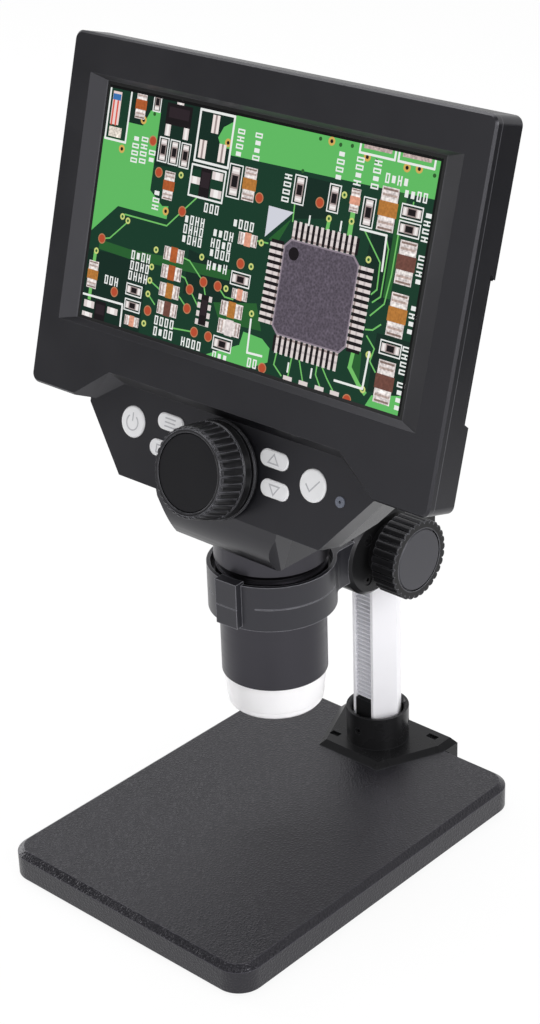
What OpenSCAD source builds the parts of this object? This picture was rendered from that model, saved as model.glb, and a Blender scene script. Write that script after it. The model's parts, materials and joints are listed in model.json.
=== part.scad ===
// Desktop digital microscope: a tilted 7 inch screen head with a vertical lens barrel,
// held in a ring on a carriage that a rack and pinion move up and down a six-sided pole.
// Millimetres. X runs to the user's right, Y away from the user, Z up.
// The origin is the middle of the base's underside. The rubber feet reach below it.

/* [Base] */
// Width of the base, side to side
base_w = 124; // [112:1:150]
// Depth of the base, front to back
base_d = 164; // [150:1:200]
// Height of the base above its underside
base_h = 11.2; // [10.6:0.1:16]
// Radius of the base's upright corners
base_r = 10; // [6:0.5:16]
// Width of the sloping bevel round the top of the base
base_bevel_w = 2.6; // [1:0.1:4]
// Height of the sloping bevel round the top of the base
base_bevel_h = 2.1; // [1:0.1:3]
// Wall of the base shell
base_wall = 2.4; // [1.8:0.1:3]
// Thickness of the plate that closes the underside
cover_t = 2; // [1.8:0.1:2.5]
// Width of the steel ballast plate
weight_w = 90; // [60:1:94]
// Depth of the steel ballast plate
weight_d = 100; // [60:1:104]
// Thickness of the steel ballast plate
weight_t = 4.5; // [2:0.1:5]
// How far the rubber feet stand out below the base
foot_proud = 0.8; // [0.4:0.1:2]
// Radius of a rubber foot
foot_r = 6; // [4:0.5:7]

/* [Pole foot] */
// Distance from the pole's axis to the base's back edge
pole_inset = 12; // [11:0.5:14]
// Width of the foot plate's front edge
plate_front_w = 31.2; // [28:0.2:36]
// Width of the foot plate at its widest
plate_w = 56; // [50:1:64]
// Distance from the pole's axis to the foot plate's front edge
plate_front = 19.8; // [18:0.2:24]
// Distance from the pole's axis to where the plate gets its full width
plate_shoulder = 8.5; // [6:0.5:10]
// How far the foot plate hangs over the base's back edge
plate_over = 6; // [4.5:0.5:8]
// Thickness of the foot plate
plate_t = 2; // [1.8:0.1:4]
// Width of the sloping edge round the foot plate
plate_slope = 3; // [1:0.1:4]
// Outer radius of the socket that holds the pole
socket_r = 13; // [12.6:0.1:15]
// Height of the socket above the foot plate
socket_h = 14.6; // [12:0.2:20]

/* [Pole] */
// Radius through the six corners of the pole
pole_r = 10.5; // [9.5:0.1:11]
// Height of the pole's top above the base's underside
pole_top = 209; // [195:1:240]
// Width of the slot down the pole's front
slot_w = 8; // [6:0.1:8.4]
// Depth of the slot down the pole's front
slot_d = 4; // [3.6:0.1:5]
// Module of the rack's and the pinions' teeth
tooth_m = 0.6; // [0.5:0.05:0.7]
// Height of the rack's lower end above the base's underside
rack_z = 34; // [30:0.5:38]

/* [Carriage] */
// Height of the carriage's middle at rest
carriage_z = 110.8; // [100:0.5:125]
// Radius of the carriage's round front
carriage_r = 16.1; // [15:0.1:18]
// Distance from the pole's axis forward to the centre of the round front
carriage_nose = 20.4; // [19:0.1:22]
// Distance from the pole's axis to the carriage's back
carriage_back = 18; // [17:0.5:22]
// Width of the carriage with its side cover
carriage_w = 34; // [33:0.5:40]
// Wall of the carriage
carriage_wall = 2.4; // [2:0.1:3]
// Thickness of the side cover
side_t = 2.5; // [2:0.1:4]
// Number of teeth on the height pinion
pinion_n = 20; // [18:1:22]
// Height of the height knob's axis above the carriage's middle
knob_up = 0.8; // [-2:0.1:2]
// Radius of the height knob
knob_r = 16.1; // [14:0.1:18]
// Length of the height knob
knob_l = 11.6; // [9:0.1:16]
// Number of ribs round the height knob
knob_ribs = 30; // [20:1:40]
// Radius of the step behind the height knob
step_r = 11; // [8:0.5:12]

/* [Ring] */
// Distance from the pole's axis forward to the barrel's axis
reach = 61.6; // [61:0.1:70]
// Outer radius of the ring that holds the head
ring_r = 24.7; // [24.4:0.1:27]
// Height of the ring
ring_h = 18.4; // [16:0.2:24]
// Height of the carriage's middle above the ring's lower face
ring_drop = 7.7; // [6:0.1:9]
// Depth of the recess in the ring's top
ring_seat_h = 3.8; // [3:0.1:5]
// Width of the flat tab on the ring's front
tab_w = 10; // [8:0.5:14]
// How far the tab stands out of the ring
tab_proud = 2.5; // [1:0.1:4]
// Angle of the tab from straight ahead
tab_turn = 3; // [-10:1:10]
// Width of the neck between ring and carriage
neck_w = 33; // [28:0.5:33]

/* [Barrel] */
// Outer radius of the barrel
barrel_r = 20.55; // [20:0.05:21]
// Bore radius of the barrel
bore_r = 18.5; // [18.2:0.05:18.6]
// How far the barrel reaches below the ring's seat
barrel_l = 42.5; // [40:0.5:48]
// Radius of the collar above the ring
collar_r = 21.9; // [21.7:0.1:22.4]
// Height of the collar's lower edge above the ring's seat
collar_up = 4.9; // [4.2:0.1:6]
// Height of the clear light cap
cap_h = 14.2; // [10:0.2:18]
// Radius of the light cap at its top
cap_r = 20; // [19.4:0.1:20.4]
// Radius of the light cap at its bottom
cap_low_r = 18.5; // [17:0.1:19]
// Height of the band round the light cap's bottom
cap_band = 2.8; // [2:0.1:4]
// Radius of the opening in the light cap
cap_hole_r = 8; // [5:0.5:10]
// Number of white light-emitting diodes
led_n = 8; // [4:1:10]
// Height of the lens carrier above the barrel's lower end
carrier_up = 12; // [11.4:0.1:12.5]
// Length of the lens carrier
carrier_l = 20; // [16:0.5:22]
// How far the lens carrier moves up and down from the middle
focus_travel = 5; // [3:0.5:5]

/* [Screen] */
// Tilt of the screen, leaning back from upright
tilt = 15.7; // [14:0.1:17]
// Width of the picture
screen_w = 154.08; // [150:0.01:156]
// Height of the picture
screen_h = 85.92; // [82:0.01:88]
// Height of the picture's middle above the ring's seat
screen_up = 130.54; // [130:0.01:134]
// Distance of the picture's middle in front of the barrel's axis
screen_fore = 6.56; // [5:0.1:8]
// Width of the frame beside the picture
frame_side = 19.7; // [18:0.1:24]
// Height of the frame above the picture
frame_top = 17.3; // [16:0.1:24]
// Height of the frame below the picture
frame_low = 30.2; // [29.4:0.1:31]
// Corner radius of the frame
frame_r = 3.5; // [2.6:0.1:6]
// Bevel round the frame's front
frame_bevel = 0.8; // [0.4:0.1:2]
// How far the frame's front stands before the picture
frame_lip = 2; // [1.8:0.1:2.4]
// Depth from the picture back to the joint between front and rear shell
joint_depth = 12.2; // [11.8:0.1:13.5]
// Depth of the rear shell's flat back behind that joint
rear_depth = 6.5; // [6:0.1:8]
// Slope of the rear shell's edge, measured along the back
rear_slope = 6; // [5:0.1:7]
// How far the rear shell reaches below the frame
rear_lip = 2; // [0:0.1:2.4]
// Wall of the shells
shell_wall = 2.2; // [1.8:0.1:2.4]

/* [Control panel] */
// Depth of the control panel behind the picture
panel_depth = 4; // [3.5:0.1:4.5]
// Half the width of the control panel at its widest
panel_wide = 69.5; // [66:0.5:74]
// Distance from the picture's middle down to the panel's widest line
panel_mid = 75; // [74.5:0.1:76]
// Half the width of the panel's lower edge
panel_low_w = 49.6; // [46:0.2:54]
// Distance from the picture's middle down to the panel's lower edge
panel_low = 98.5; // [97:0.1:101]
// Half the width of the panel's upper edge
panel_top_w = 53; // [50:0.5:56]
// Distance from the picture's middle down to the panel's upper edge
panel_top = 64.2; // [63.5:0.1:64.4]
// Width of the sloping ledge round the panel's upper edge
ledge = 4; // [2:0.1:4.4]
// Depth of the housing's back behind the picture
housing_depth = 23.5; // [22.5:0.1:26]
// Radius of the round buttons
round_r = 6; // [5:0.1:6.4]
// Length of the long buttons
long_l = 13.2; // [11:0.1:14]
// Width of the long buttons
long_w = 6.3; // [5:0.1:7]
// Sideways place of the round buttons
round_x = 44.3; // [43:0.1:46]
// Sideways place of the upper long buttons
upper_x = 25.5; // [25:0.1:27]
// Sideways place of the lower long buttons
lower_x = 27.7; // [26.6:0.1:29]
// How far the buttons sit to the left of the middle
key_shift = 1.7; // [0:0.1:2]
// How far a button stands out of the panel
button_proud = 0.5; // [0.4:0.1:2]
// How far a button can be pressed
button_travel = 0.8; // [0.4:0.1:0.8]

/* [Focus knob] */
// Distance from the picture's middle down to the focus knob's axis
focus_down = 82.7; // [82.2:0.1:83.5]
// Radius over the focus knob's ribs at its face
focus_r = 16.7; // [15.4:0.1:17]
// Radius over the ribs at their rear end
focus_rear_r = 17.8; // [16.6:0.1:18]
// How far the focus knob's face stands before the picture
focus_face = 13.9; // [10:0.1:16]
// Radius of the flat face
focus_face_r = 14.8; // [12:0.1:15]
// Radius of the thin skirt next to the panel
focus_skirt_r = 18.5; // [18:0.1:18.7]
// Number of ribs round the focus knob
focus_ribs = 36; // [24:1:44]
// Number of teeth on the focus pinion
focus_n = 14; // [13:1:15]

/* [Chin] */
// Half the width of the chin at its bottom
chin_w = 26; // [25.5:0.1:28]
// Height of the chin's bottom above the ring's seat
chin_up = 16.5; // [15.5:0.1:19]
// Distance from the barrel's axis forward to the chin's lower front edge
chin_fore = 24.4; // [24.4:0.1:26]
// Distance from the barrel's axis back to the chin's rear
chin_back = 24.6; // [24.2:0.1:28]

/* [Fits] */
// Radial clearance of a shaft that turns or slides in its bore
run = 0.05; // [0.03:0.01:0.08]
// Clearance between the pole and the carriage's bore
glide = 0.3; // [0.2:0.05:0.4]
// Clearance round a button and behind loose pieces
slip = 0.2; // [0.15:0.05:0.3]
// Clearance between pieces that are fixed to each other
seat = 0.05; // [0.02:0.01:0.1]

/* [Hidden] */
$fn = 64;
eps = 0.01;
big = 400;

// Pole and rack
pole_y = base_d / 2 - pole_inset;
pole_flat = pole_r * cos(30);
pole_z = base_h + 0.8;
pole_core_r = 1.7;
plate_z = base_h;
plate_top = plate_z + plate_t;
socket_top = plate_top + socket_h;
socket_bore = pole_r + 0.4;
addendum = 0.9 * tooth_m;
dedendum = 1.15 * tooth_m;
backlash = 0.12;
rack_back = pole_y - pole_flat + slot_d - seat;
rack_t = 3.2;
rack_pitch_y = rack_back - rack_t + addendum;
pinion_r = pinion_n * tooth_m / 2;
pinion_y = rack_pitch_y - pinion_r;
pinion_w = slot_w - 1;

// Carriage
nose_y = pole_y - carriage_nose;
back_y = pole_y + carriage_back;
side_x = carriage_w / 2 - side_t;
knob_z = carriage_z + knob_up;
guide_wall = 3;
guide_front = pole_y - pole_flat - glide - guide_wall;
guide_back = pole_y + pole_flat + glide + guide_wall;
shaft_r = 3;
step_l = 4.2;
knob_x = carriage_w / 2 + step_l + slip;
knob_end = knob_x + knob_l;
cover_screw_at = [[-25.2, 8.6], [-25.2, -8.6], [7.6, 13.2], [7.6, -13.2]];

// Ring and barrel
barrel_y = pole_y - reach;
ring_z = carriage_z - ring_drop;
seat_z = ring_z + ring_h - ring_seat_h;
ring_top = ring_z + ring_h;
ring_bore = barrel_r + 2 * run;
recess_r = 23.2;
shoulder_r = 21.4;
tab_out = ring_r + tab_proud;
barrel_z = seat_z - barrel_l;
collar_z = seat_z + collar_up;
collar_slope = 1.8;
led_board_z = barrel_z + 3.2;
board_t = 1.2;
carrier_z = barrel_z + carrier_up;
carrier_r = bore_r - 2 * run;
sensor_z = seat_z - 0.3;
sensor_ledge_r = bore_r + 0.9;
ring_screw_x = 10;

// Head
st = sin(tilt);
ct = cos(tilt);
screen_y = barrel_y - screen_fore;
screen_z = seat_z + screen_up;
frame_w = screen_w + 2 * frame_side;
frame_u0 = -screen_h / 2 - frame_low;
frame_u1 = screen_h / 2 + frame_top;
frame_h = frame_u1 - frame_u0;
frame_c = (frame_u0 + frame_u1) / 2;
rear_d = -joint_depth - rear_depth;
panel_d = -panel_depth;
housing_d = -housing_depth;
chin_z = seat_z + chin_up;
flange_z = chin_z + shell_wall;
flange_t = 2;
chin_cut_low = 1.4;
chin_cut_top = 6;
module_w = screen_w + 10.8;
module_h = screen_h + 14.1;
port_x = frame_w / 2 - 4;
port_u0 = -43;
port_u1 = 6.5;
port_d = -9;
usb_u = -12;
card_u = -28;
shell_screw_at = [[84, 53.2], [-84, 53.2], [84, -62], [-84, -62], [60, -71], [-60, -71]];
post_at = [[34, -91], [-34, -91], [57, -73.4], [-57, -73.4]];
board_d = -14.2;
board_x0 = -56;
board_x1 = port_x - 3.2;
board_u0 = -37;
board_u1 = 48;
board_hole_at = [[-50, -16], [-50, 44], [80, 44], [80, -16]];
battery_w = 92;
battery_h = 36;
battery_u = -49;
cable_w = 8;
lens_at = [55.6, -79.2];
keys_d = -11;
cross_d = (screen_y - focus_down * st - barrel_y) / ct;
cross_z = height_of(-focus_down, cross_d);
focus_pinion_r = focus_n * tooth_m / 2;
key_face = panel_d + button_proud;
key_flange_d = panel_d - shell_wall - slip / 2;
key_flange_t = 0.8;
switch_top_d = key_flange_d - key_flange_t - button_travel - slip;
round_u = -77;
upper_u = -72.7;
lower_u = -83.2;
power_at = [-round_x - key_shift, round_u];
ok_at = [round_x - key_shift, round_u];
menu_at = [-upper_x - key_shift, upper_u];
up_at = [upper_x - key_shift, upper_u];
camera_at = [-lower_x - key_shift, lower_u];
down_at = [lower_x - key_shift, lower_u];

// World Y and Z of a point that lies u up the screen's plane and d before it
function depth_of(u, d) = screen_y + u * st - d * ct;
function height_of(u, d) = screen_z + u * ct + d * st;

// Corner points of a tooth: t0 at the root, t1 at the pitch line, t2 at the tip
function rack_teeth(n, m, gap) = [
    for (i = [0 : n - 1]) let (c = (i + 0.5) * PI * m, h = PI * m / 4 - gap / 2)
        for (p = [[-h - dedendum * 0.36, -dedendum], [-h + addendum * 0.36, addendum],
                  [h - addendum * 0.36, addendum], [h + dedendum * 0.36, -dedendum]])
            [c + p[0], p[1]]
];

// Rounding of an involute gear tooth at radius r, as half its angle
function half_tooth(n, m, r, gap) =
    let (rp = n * m / 2, rb = rp * cos(20), inv = tan(20) - 20 * PI / 180)
    let (a = r > rb ? acos(rb / r) : 0)
    (PI / (2 * n) - gap / (2 * rp) + inv - (tan(a) - a * PI / 180)) * 180 / PI;

// ---- helpers -------------------------------------------------------------

module rounded(w, h, r) {
    for (sx = [-1, 1])
        for (sy = [-1, 1])
            translate([sx * (w / 2 - r), sy * (h / 2 - r)]) circle(r);
    square([w, h - 2 * r], center = true);
    square([w - 2 * r, h], center = true);
}

module slab(w, h, r, t) {
    linear_extrude(t) rounded(w, h, r);
}

// A slab whose four sides lean in by inset over its thickness
module bevel_slab(w, h, r, t, inset) {
    for (sx = [-1, 1])
        for (sy = [-1, 1])
            translate([sx * (w / 2 - r), sy * (h / 2 - r), 0])
                cylinder(h = t, r1 = r, r2 = r - inset);
    rotate([90, 0, 0])
        linear_extrude(h - 2 * r, center = true)
            polygon([[-w / 2, 0], [w / 2, 0], [w / 2 - inset, t], [-w / 2 + inset, t]]);
    rotate([90, 0, 90])
        linear_extrude(w - 2 * r, center = true)
            polygon([[-h / 2, 0], [h / 2, 0], [h / 2 - inset, t], [-h / 2 + inset, t]]);
}

module block(x0, x1, y0, y1, z0, z1) {
    translate([x0, y0, z0]) cube([x1 - x0, y1 - y0, z1 - z0]);
}

// Extrudes a drawing made in Y and Z along X, centred
module along_x(w) {
    rotate([90, 0, 90]) linear_extrude(w, center = true) children();
}

module rod_x(x0, x1, y, z, r) {
    translate([x0, y, z]) rotate([0, 90, 0]) cylinder(h = x1 - x0, r = r);
}

module rod_y(y0, y1, x, z, r) {
    translate([x, y1, z]) rotate([90, 0, 0]) cylinder(h = y1 - y0, r = r);
}

module rod(x, y, z0, z1, r) {
    translate([x, y, z0]) cylinder(h = z1 - z0, r = r);
}

// Places what is drawn on the screen's plane: X across, Y up the screen, Z towards the user
module head() {
    translate([0, screen_y, screen_z]) rotate([90 - tilt, 0, 0]) children();
}

module at_barrel(z) {
    translate([0, barrel_y, z]) children();
}

module screw_down(l, r, head_r, head_h) {
    translate([0, 0, -l]) cylinder(h = l + eps, r = r);
    difference() {
        cylinder(h = head_h, r = head_r);
        translate([0, 0, head_h - 0.8]) cylinder(h = 1, r = head_r * 0.42, $fn = 6);
    }
}

module gear(n, m, w, gap) {
    rp = n * m / 2;
    r0 = rp - dedendum;
    rb = rp * cos(20);
    r1 = rp + addendum;
    radii = [max(r0, rb), (max(r0, rb) + rp) / 2, rp, (rp + r1) / 2, r1];
    points = [
        for (i = [0 : n - 1]) let (c = i * 360 / n)
            concat(
                [[r0, c - half_tooth(n, m, radii[0], gap) - 1]],
                [for (r = radii) [r, c - half_tooth(n, m, r, gap)]],
                [for (k = [4 : -1 : 0]) [radii[k], c + half_tooth(n, m, radii[k], gap)]],
                [[r0, c + half_tooth(n, m, radii[0], gap) + 1]])
    ];
    linear_extrude(w)
        polygon([for (tooth = points) for (p = tooth) p[0] * [cos(p[1]), sin(p[1])]]);
}

// Round outline with n ribs of the given depth
module rib_outline(r, n, depth) {
    polygon([
        for (i = [0 : n - 1])
            for (p = [[0, -0.34], [1, -0.2], [1, 0.2], [0, 0.34]])
                (r - depth * (1 - p[0])) * [cos((i + p[1]) * 360 / n), sin((i + p[1]) * 360 / n)]
    ]);
}

// ---- base ----------------------------------------------------------------

module base_posts(r, z0, z1) {
    for (sx = [-1, 1])
        for (sy = [-1, 1])
            rod(sx * (base_w / 2 - 9), sy * (base_d / 2 - 11), z0, z1, r);
}

module foot_places() {
    for (sx = [-1, 1])
        for (sy = [-1, 1])
            translate([sx * (base_w / 2 - 19), sy * (base_d / 2 - 17), 0]) children();
}

module plate_screw_places() {
    for (sx = [-1, 1])
        translate([sx * (plate_w / 2 - 8), pole_y + 2, 0]) children();
}

module base_shell() {
    color([0.26, 0.26, 0.28])
    difference() {
        union() {
            difference() {
                union() {
                    slab(base_w, base_d, base_r, base_h - base_bevel_h);
                    translate([0, 0, base_h - base_bevel_h])
                        bevel_slab(base_w, base_d, base_r, base_bevel_h, base_bevel_w);
                }
                translate([0, 0, -eps])
                    slab(base_w - 2 * base_wall, base_d - 2 * base_wall, base_r - base_wall,
                         base_h - base_wall - 0.6);
            }
            base_posts(4, cover_t + seat, base_h - 1);
        }
        base_posts(1.3, -eps, base_h - 3);
        rod(0, pole_y, -eps, base_h + eps, 2.2);
        plate_screw_places() rod(0, 0, -eps, base_h + eps, 1.6);
    }
}

module base_cover() {
    color([0.16, 0.16, 0.17])
    difference() {
        slab(base_w - 2 * base_wall - 2 * slip, base_d - 2 * base_wall - 2 * slip,
             base_r - base_wall - slip, cover_t);
        base_posts(1.6, -eps, cover_t + eps);
        base_posts(3, -eps, 1);
        foot_places() rod(0, 0, -eps, 1.1, foot_r + seat);
    }
}

module base_weight() {
    color([0.55, 0.56, 0.58])
    translate([0, -12, cover_t + seat])
    difference() {
        slab(weight_w, weight_d, 3, weight_t);
        for (sx = [-1, 1])
            rod(sx * (weight_w / 2 - 8), 0, -eps, weight_t + eps, 2);
    }
}

module rubber_feet() {
    color([0.08, 0.08, 0.08])
    foot_places() {
        rod(0, 0, 0, 1.1 - seat, foot_r);
        translate([0, 0, -foot_proud]) cylinder(h = foot_proud + eps, r1 = foot_r - 0.6, r2 = foot_r);
    }
}

module base_screws() {
    color([0.6, 0.6, 0.62])
    for (sx = [-1, 1])
        for (sy = [-1, 1])
            translate([sx * (base_w / 2 - 9), sy * (base_d / 2 - 11), 1 - seat])
                mirror([0, 0, 1]) screw_down(5, 1.25, 2.7, 0.8);
}

// ---- pole foot and pole ----------------------------------------------------

// Outline of the foot plate, drawn smaller by inset
module plate_outline(inset, back) {
    front_half = plate_front_w / 2 - inset * 0.55;
    wide_half = plate_w / 2 - inset;
    polygon([
        [-front_half, -plate_front + inset], [front_half, -plate_front + inset],
        [wide_half, plate_shoulder], [wide_half, back],
        [-wide_half, back], [-wide_half, plate_shoulder]
    ]);
}

module pole_foot() {
    back = pole_inset + plate_over;
    color([0.13, 0.13, 0.14])
    translate([0, pole_y, 0])
    difference() {
        union() {
            hull() {
                translate([0, 0, plate_z]) linear_extrude(eps) plate_outline(0, back);
                translate([0, 0, plate_top - eps]) linear_extrude(eps)
                    plate_outline(plate_slope, back - 1.2);
            }
            block(-plate_w / 2, plate_w / 2, pole_inset + 0.3, back, 2, plate_z + eps);
            along_x(plate_w)
                polygon([
                    [pole_inset - base_bevel_w + 0.4, plate_z + eps],
                    [pole_inset + 0.3, plate_z - base_bevel_h + 0.1], [pole_inset + 0.4, plate_z + eps]
                ]);
            rod(0, 0, plate_z, socket_top, socket_r);
        }
        rod(0, 0, pole_z, socket_top + eps, socket_bore);
        translate([0, 0, socket_top - 1.2])
            cylinder(h = 1.2 + eps, r1 = socket_bore, r2 = socket_bore + 0.9);
        rod(0, 0, -eps, pole_z + eps, 2.2);
        translate([-plate_w / 2 + 8, 2, 0]) rod(0, 0, plate_z - eps, plate_top - 0.6, 1.25);
        translate([plate_w / 2 - 8, 2, 0]) rod(0, 0, plate_z - eps, plate_top - 0.6, 1.25);
        for (a = [-90, 30, 150])
            rotate([0, 0, a]) translate([0, 0, socket_top - 7.1]) rotate([0, 90, 0])
                cylinder(h = socket_r + 1, r = 1.55);
        block(-16.2, -11.6, -12.4, -9.6, plate_top - 1.4, plate_top + 1);
        block(16.4, 21.4, 11.2, 14, plate_top - 1.4, plate_top + 1);
        block(-plate_w / 2 + 3, plate_w / 2 - 3, pole_inset + 3.3, back + eps, 2 - eps, plate_z - 1);
    }
}

module foot_screws() {
    color([0.6, 0.6, 0.62])
    plate_screw_places()
        translate([0, 0, base_h - base_wall - 0.6 - seat])
            mirror([0, 0, 1]) screw_down(4, 1.2, 2.6, 1.4);
}

module pole_screw() {
    color([0.6, 0.6, 0.62])
    translate([0, pole_y, base_h - base_wall - 0.6 - seat])
        mirror([0, 0, 1]) screw_down(12, 1.65, 3.4, 2);
}

module set_screws() {
    color([0.3, 0.3, 0.31])
    translate([0, pole_y, socket_top - 7.1])
        for (a = [-90, 30, 150])
            rotate([0, 0, a]) translate([pole_flat + seat, 0, 0]) rotate([0, 90, 0])
                difference() {
                    cylinder(h = socket_r - pole_flat - 0.5, r = 1.5);
                    translate([0, 0, socket_r - pole_flat - 1.7]) cylinder(h = 2, r = 0.75, $fn = 6);
                }
}

module pole() {
    color([0.9, 0.9, 0.92])
    translate([0, pole_y, 0])
    difference() {
        translate([0, 0, pole_z]) cylinder(h = pole_top - pole_z, r = pole_r, $fn = 6);
        block(-slot_w / 2, slot_w / 2, -pole_r, -pole_flat + slot_d, pole_z - 1, pole_top + 1);
        rod(0, 0, pole_z - eps, pole_z + 14, pole_core_r);
        rod(0, 0, pole_top - 12, pole_top + eps, pole_core_r);
    }
}

module pole_cap() {
    color([0.12, 0.12, 0.13])
    translate([0, pole_y, 0]) {
        translate([0, 0, pole_top + seat]) cylinder(h = 2.2, r = pole_r, $fn = 6);
        rod(0, 0, pole_top - 8, pole_top + 1, pole_core_r - seat);
    }
}

module gear_rack() {
    pitch = PI * tooth_m;
    n = floor((pole_top - 4 - rack_z) / pitch);
    l = n * pitch;
    phase = (knob_z - rack_z) / pitch - floor((knob_z - rack_z) / pitch);
    shift = phase * pitch;
    color([0.55, 0.55, 0.56])
    intersection() {
        translate([0, rack_pitch_y, rack_z + shift - pitch])
            along_x(slot_w - 2 * seat)
                polygon(concat(
                    [for (p = rack_teeth(n + 1, tooth_m, backlash)) [-p[1], p[0]]],
                    [[rack_back - rack_pitch_y, l + pitch], [rack_back - rack_pitch_y, 0]]));
        block(-slot_w, slot_w, pole_y - pole_r, rack_back + 1, rack_z + seat, rack_z + l);
    }
}

module slot_key() {
    color([0.07, 0.07, 0.08])
    block(-slot_w / 2 + seat, slot_w / 2 - seat, pole_y - pole_flat, rack_back,
          pole_z + seat, rack_z);
}

// ---- carriage --------------------------------------------------------------

// Side outline of the carriage in Y and Z, drawn smaller by inset
module carriage_outline(inset) {
    r = carriage_r - inset;
    translate([nose_y, carriage_z]) circle(r);
    translate([nose_y, carriage_z - r]) square([back_y - inset - 5 - nose_y, 2 * r]);
    translate([back_y - inset - 5, carriage_z - r + 5]) square([5, 2 * r - 10]);
    for (s = [-1, 1])
        translate([back_y - inset - 5, carriage_z + s * (r - 5)]) circle(5);
}

module cover_screw_places(x) {
    for (p = cover_screw_at)
        translate([x, pole_y + p[0], carriage_z + p[1]]) rotate([0, 90, 0]) children();
}

module carriage_housing() {
    half = carriage_w / 2;
    color([0.1, 0.1, 0.11])
    difference() {
        union() {
            difference() {
                translate([(side_x - half) / 2, 0, 0]) along_x(side_x + half) carriage_outline(0);
                translate([(side_x - half + carriage_wall) / 2 + eps, 0, 0])
                    along_x(side_x + half - carriage_wall + 2 * eps) carriage_outline(carriage_wall);
            }
            intersection() {
                block(-half + 1, side_x - seat, guide_front, guide_back,
                      carriage_z - carriage_r + 1, carriage_z + carriage_r - 1);
                along_x(carriage_w * 2) carriage_outline(0.5);
            }
            rod_x(-half + 1, -8, pinion_y, knob_z, shaft_r + 2.5);
            cover_screw_places(-half + 1) cylinder(h = side_x + half - 1 - seat, r = 2.6);
            rod_y(guide_back + 1, back_y - 1, 0, carriage_z, 4.5);
        }
        translate([0, pole_y, carriage_z - carriage_r - 1])
            cylinder(h = 2 * carriage_r + 2, r = pole_r + glide / cos(30), $fn = 6);
        block(-8, 8, guide_front - 5, pole_y, knob_z - pinion_r - 1.6, knob_z + pinion_r + 1.6);
        rod_x(7.5, side_x + 1, pinion_y, knob_z, shaft_r + 2.8);
        rod_x(-half + 1, -7, pinion_y, knob_z, shaft_r + run);
        cover_screw_places(side_x - 9) cylinder(h = 10, r = 1.05);
        for (s = [-1, 1])
            rod_y(nose_y - carriage_r - 1, nose_y, s * ring_screw_x, carriage_z, 1.6);
        block(-4.2, 4.2, guide_back - guide_wall - 1, guide_back + eps, carriage_z - 7.2, carriage_z + 7.2);
        rod_y(guide_back - eps, back_y + 1, 0, carriage_z, 2 + run);
        block(-4.2, 4.2, guide_back, guide_back + 1.6, carriage_z - 7.2, carriage_z + 7.2);
    }
}

module side_cover() {
    half = carriage_w / 2;
    color([0.12, 0.12, 0.13])
    difference() {
        union() {
            translate([side_x + seat + 0.4, 0, 0]) along_x(0.8) carriage_outline(0);
            hull() {
                translate([side_x + 0.8, 0, 0]) along_x(0.2) carriage_outline(0);
                translate([half - 0.05, 0, 0]) along_x(0.1) carriage_outline(1.6);
            }
            rod_x(half - 0.2, half + step_l, pinion_y, knob_z, step_r);
            rod_x(8, side_x + 0.5, pinion_y, knob_z, shaft_r + 2.5);
        }
        rod_x(7, half + step_l + 1, pinion_y, knob_z, shaft_r + run);
        cover_screw_places(side_x - 1) cylinder(h = 6, r = 1.3);
        cover_screw_places(side_x + 1.2) cylinder(h = 6, r = 2.3);
    }
}

module cover_screws() {
    color([0.5, 0.5, 0.52])
    cover_screw_places(side_x + 1.2 + seat) screw_down(8, 1.0, 2.1, 0.9);
}

module ring_holder() {
    color([0.15, 0.15, 0.16])
    difference() {
        union() {
            at_barrel(ring_z) cylinder(h = ring_h, r = ring_r);
            block(-neck_w / 2, neck_w / 2, barrel_y + 12, nose_y - 8, ring_z + 2, ring_top);
            for (s = [-1, 1]) neck_fillet(s);
            at_barrel(ring_z + 1.2) rotate([0, 0, tab_turn])
                block(-tab_w / 2, tab_w / 2, -tab_out, -ring_r + 3, 0, ring_h);
        }
        at_barrel(ring_z - 1) cylinder(h = ring_h + 4, r = ring_bore);
        at_barrel(seat_z) cylinder(h = ring_h, r = recess_r);
        rod_x(-neck_w, neck_w, nose_y, carriage_z, carriage_r + seat);
        for (s = [-1, 1])
            rod_y(nose_y - carriage_r - 6, nose_y, s * ring_screw_x, carriage_z, 1.25);
        at_barrel(ring_z + ring_h / 2 - 0.15)
            difference() {
                cylinder(h = 0.3, r = ring_r + 5);
                translate([0, 0, -1]) cylinder(h = 3, r = ring_r - 0.3);
                rotate([0, 0, tab_turn]) block(-tab_w, tab_w, -tab_out + 0.3, 0, -1, 3);
                block(-neck_w, neck_w, 12, 60, -1, 3);
            }
    }
}

// Round transition between the ring and one side of the neck
module neck_fillet(s) {
    f = 6;
    x = neck_w / 2 + f;
    y = sqrt((ring_r + f) * (ring_r + f) - x * x);
    at_barrel(ring_z + 2)
        linear_extrude(ring_h - 2)
            difference() {
                polygon([
                    [s * neck_w / 4, y * 0.6], [s * x * ring_r / (ring_r + f), y * ring_r / (ring_r + f)],
                    [s * neck_w / 2, y], [s * neck_w / 4, y]
                ]);
                translate([s * x, y]) circle(f);
            }
}

module ring_screws() {
    color([0.6, 0.6, 0.62])
    for (s = [-1, 1])
        translate([s * ring_screw_x, nose_y - carriage_r + carriage_wall + 0.3, carriage_z])
            rotate([-90, 0, 0]) screw_down(7.6, 1.2, 2.6, 1.8);
}

module brake_pad() {
    color([0.85, 0.84, 0.8])
    block(-4, 4, pole_y + pole_flat + glide, guide_back, carriage_z - 7, carriage_z + 7);
}

module brake_spring() {
    color([0.6, 0.6, 0.62])
    block(-3.8, 3.8, guide_back + seat, guide_back + 0.55, carriage_z - 6.8, carriage_z + 6.8);
}

module brake_screw() {
    color([0.5, 0.5, 0.52])
    difference() {
        union() {
            rod_y(guide_back + 0.6, back_y + 0.5, 0, carriage_z, 2);
            rod_y(back_y + seat, back_y + 2.4, 0, carriage_z, 4.4);
        }
        block(-5, 5, back_y + 1.4, back_y + 3, carriage_z - 0.5, carriage_z + 0.5);
    }
}

// ---- height knob -------------------------------------------------------------

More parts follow.
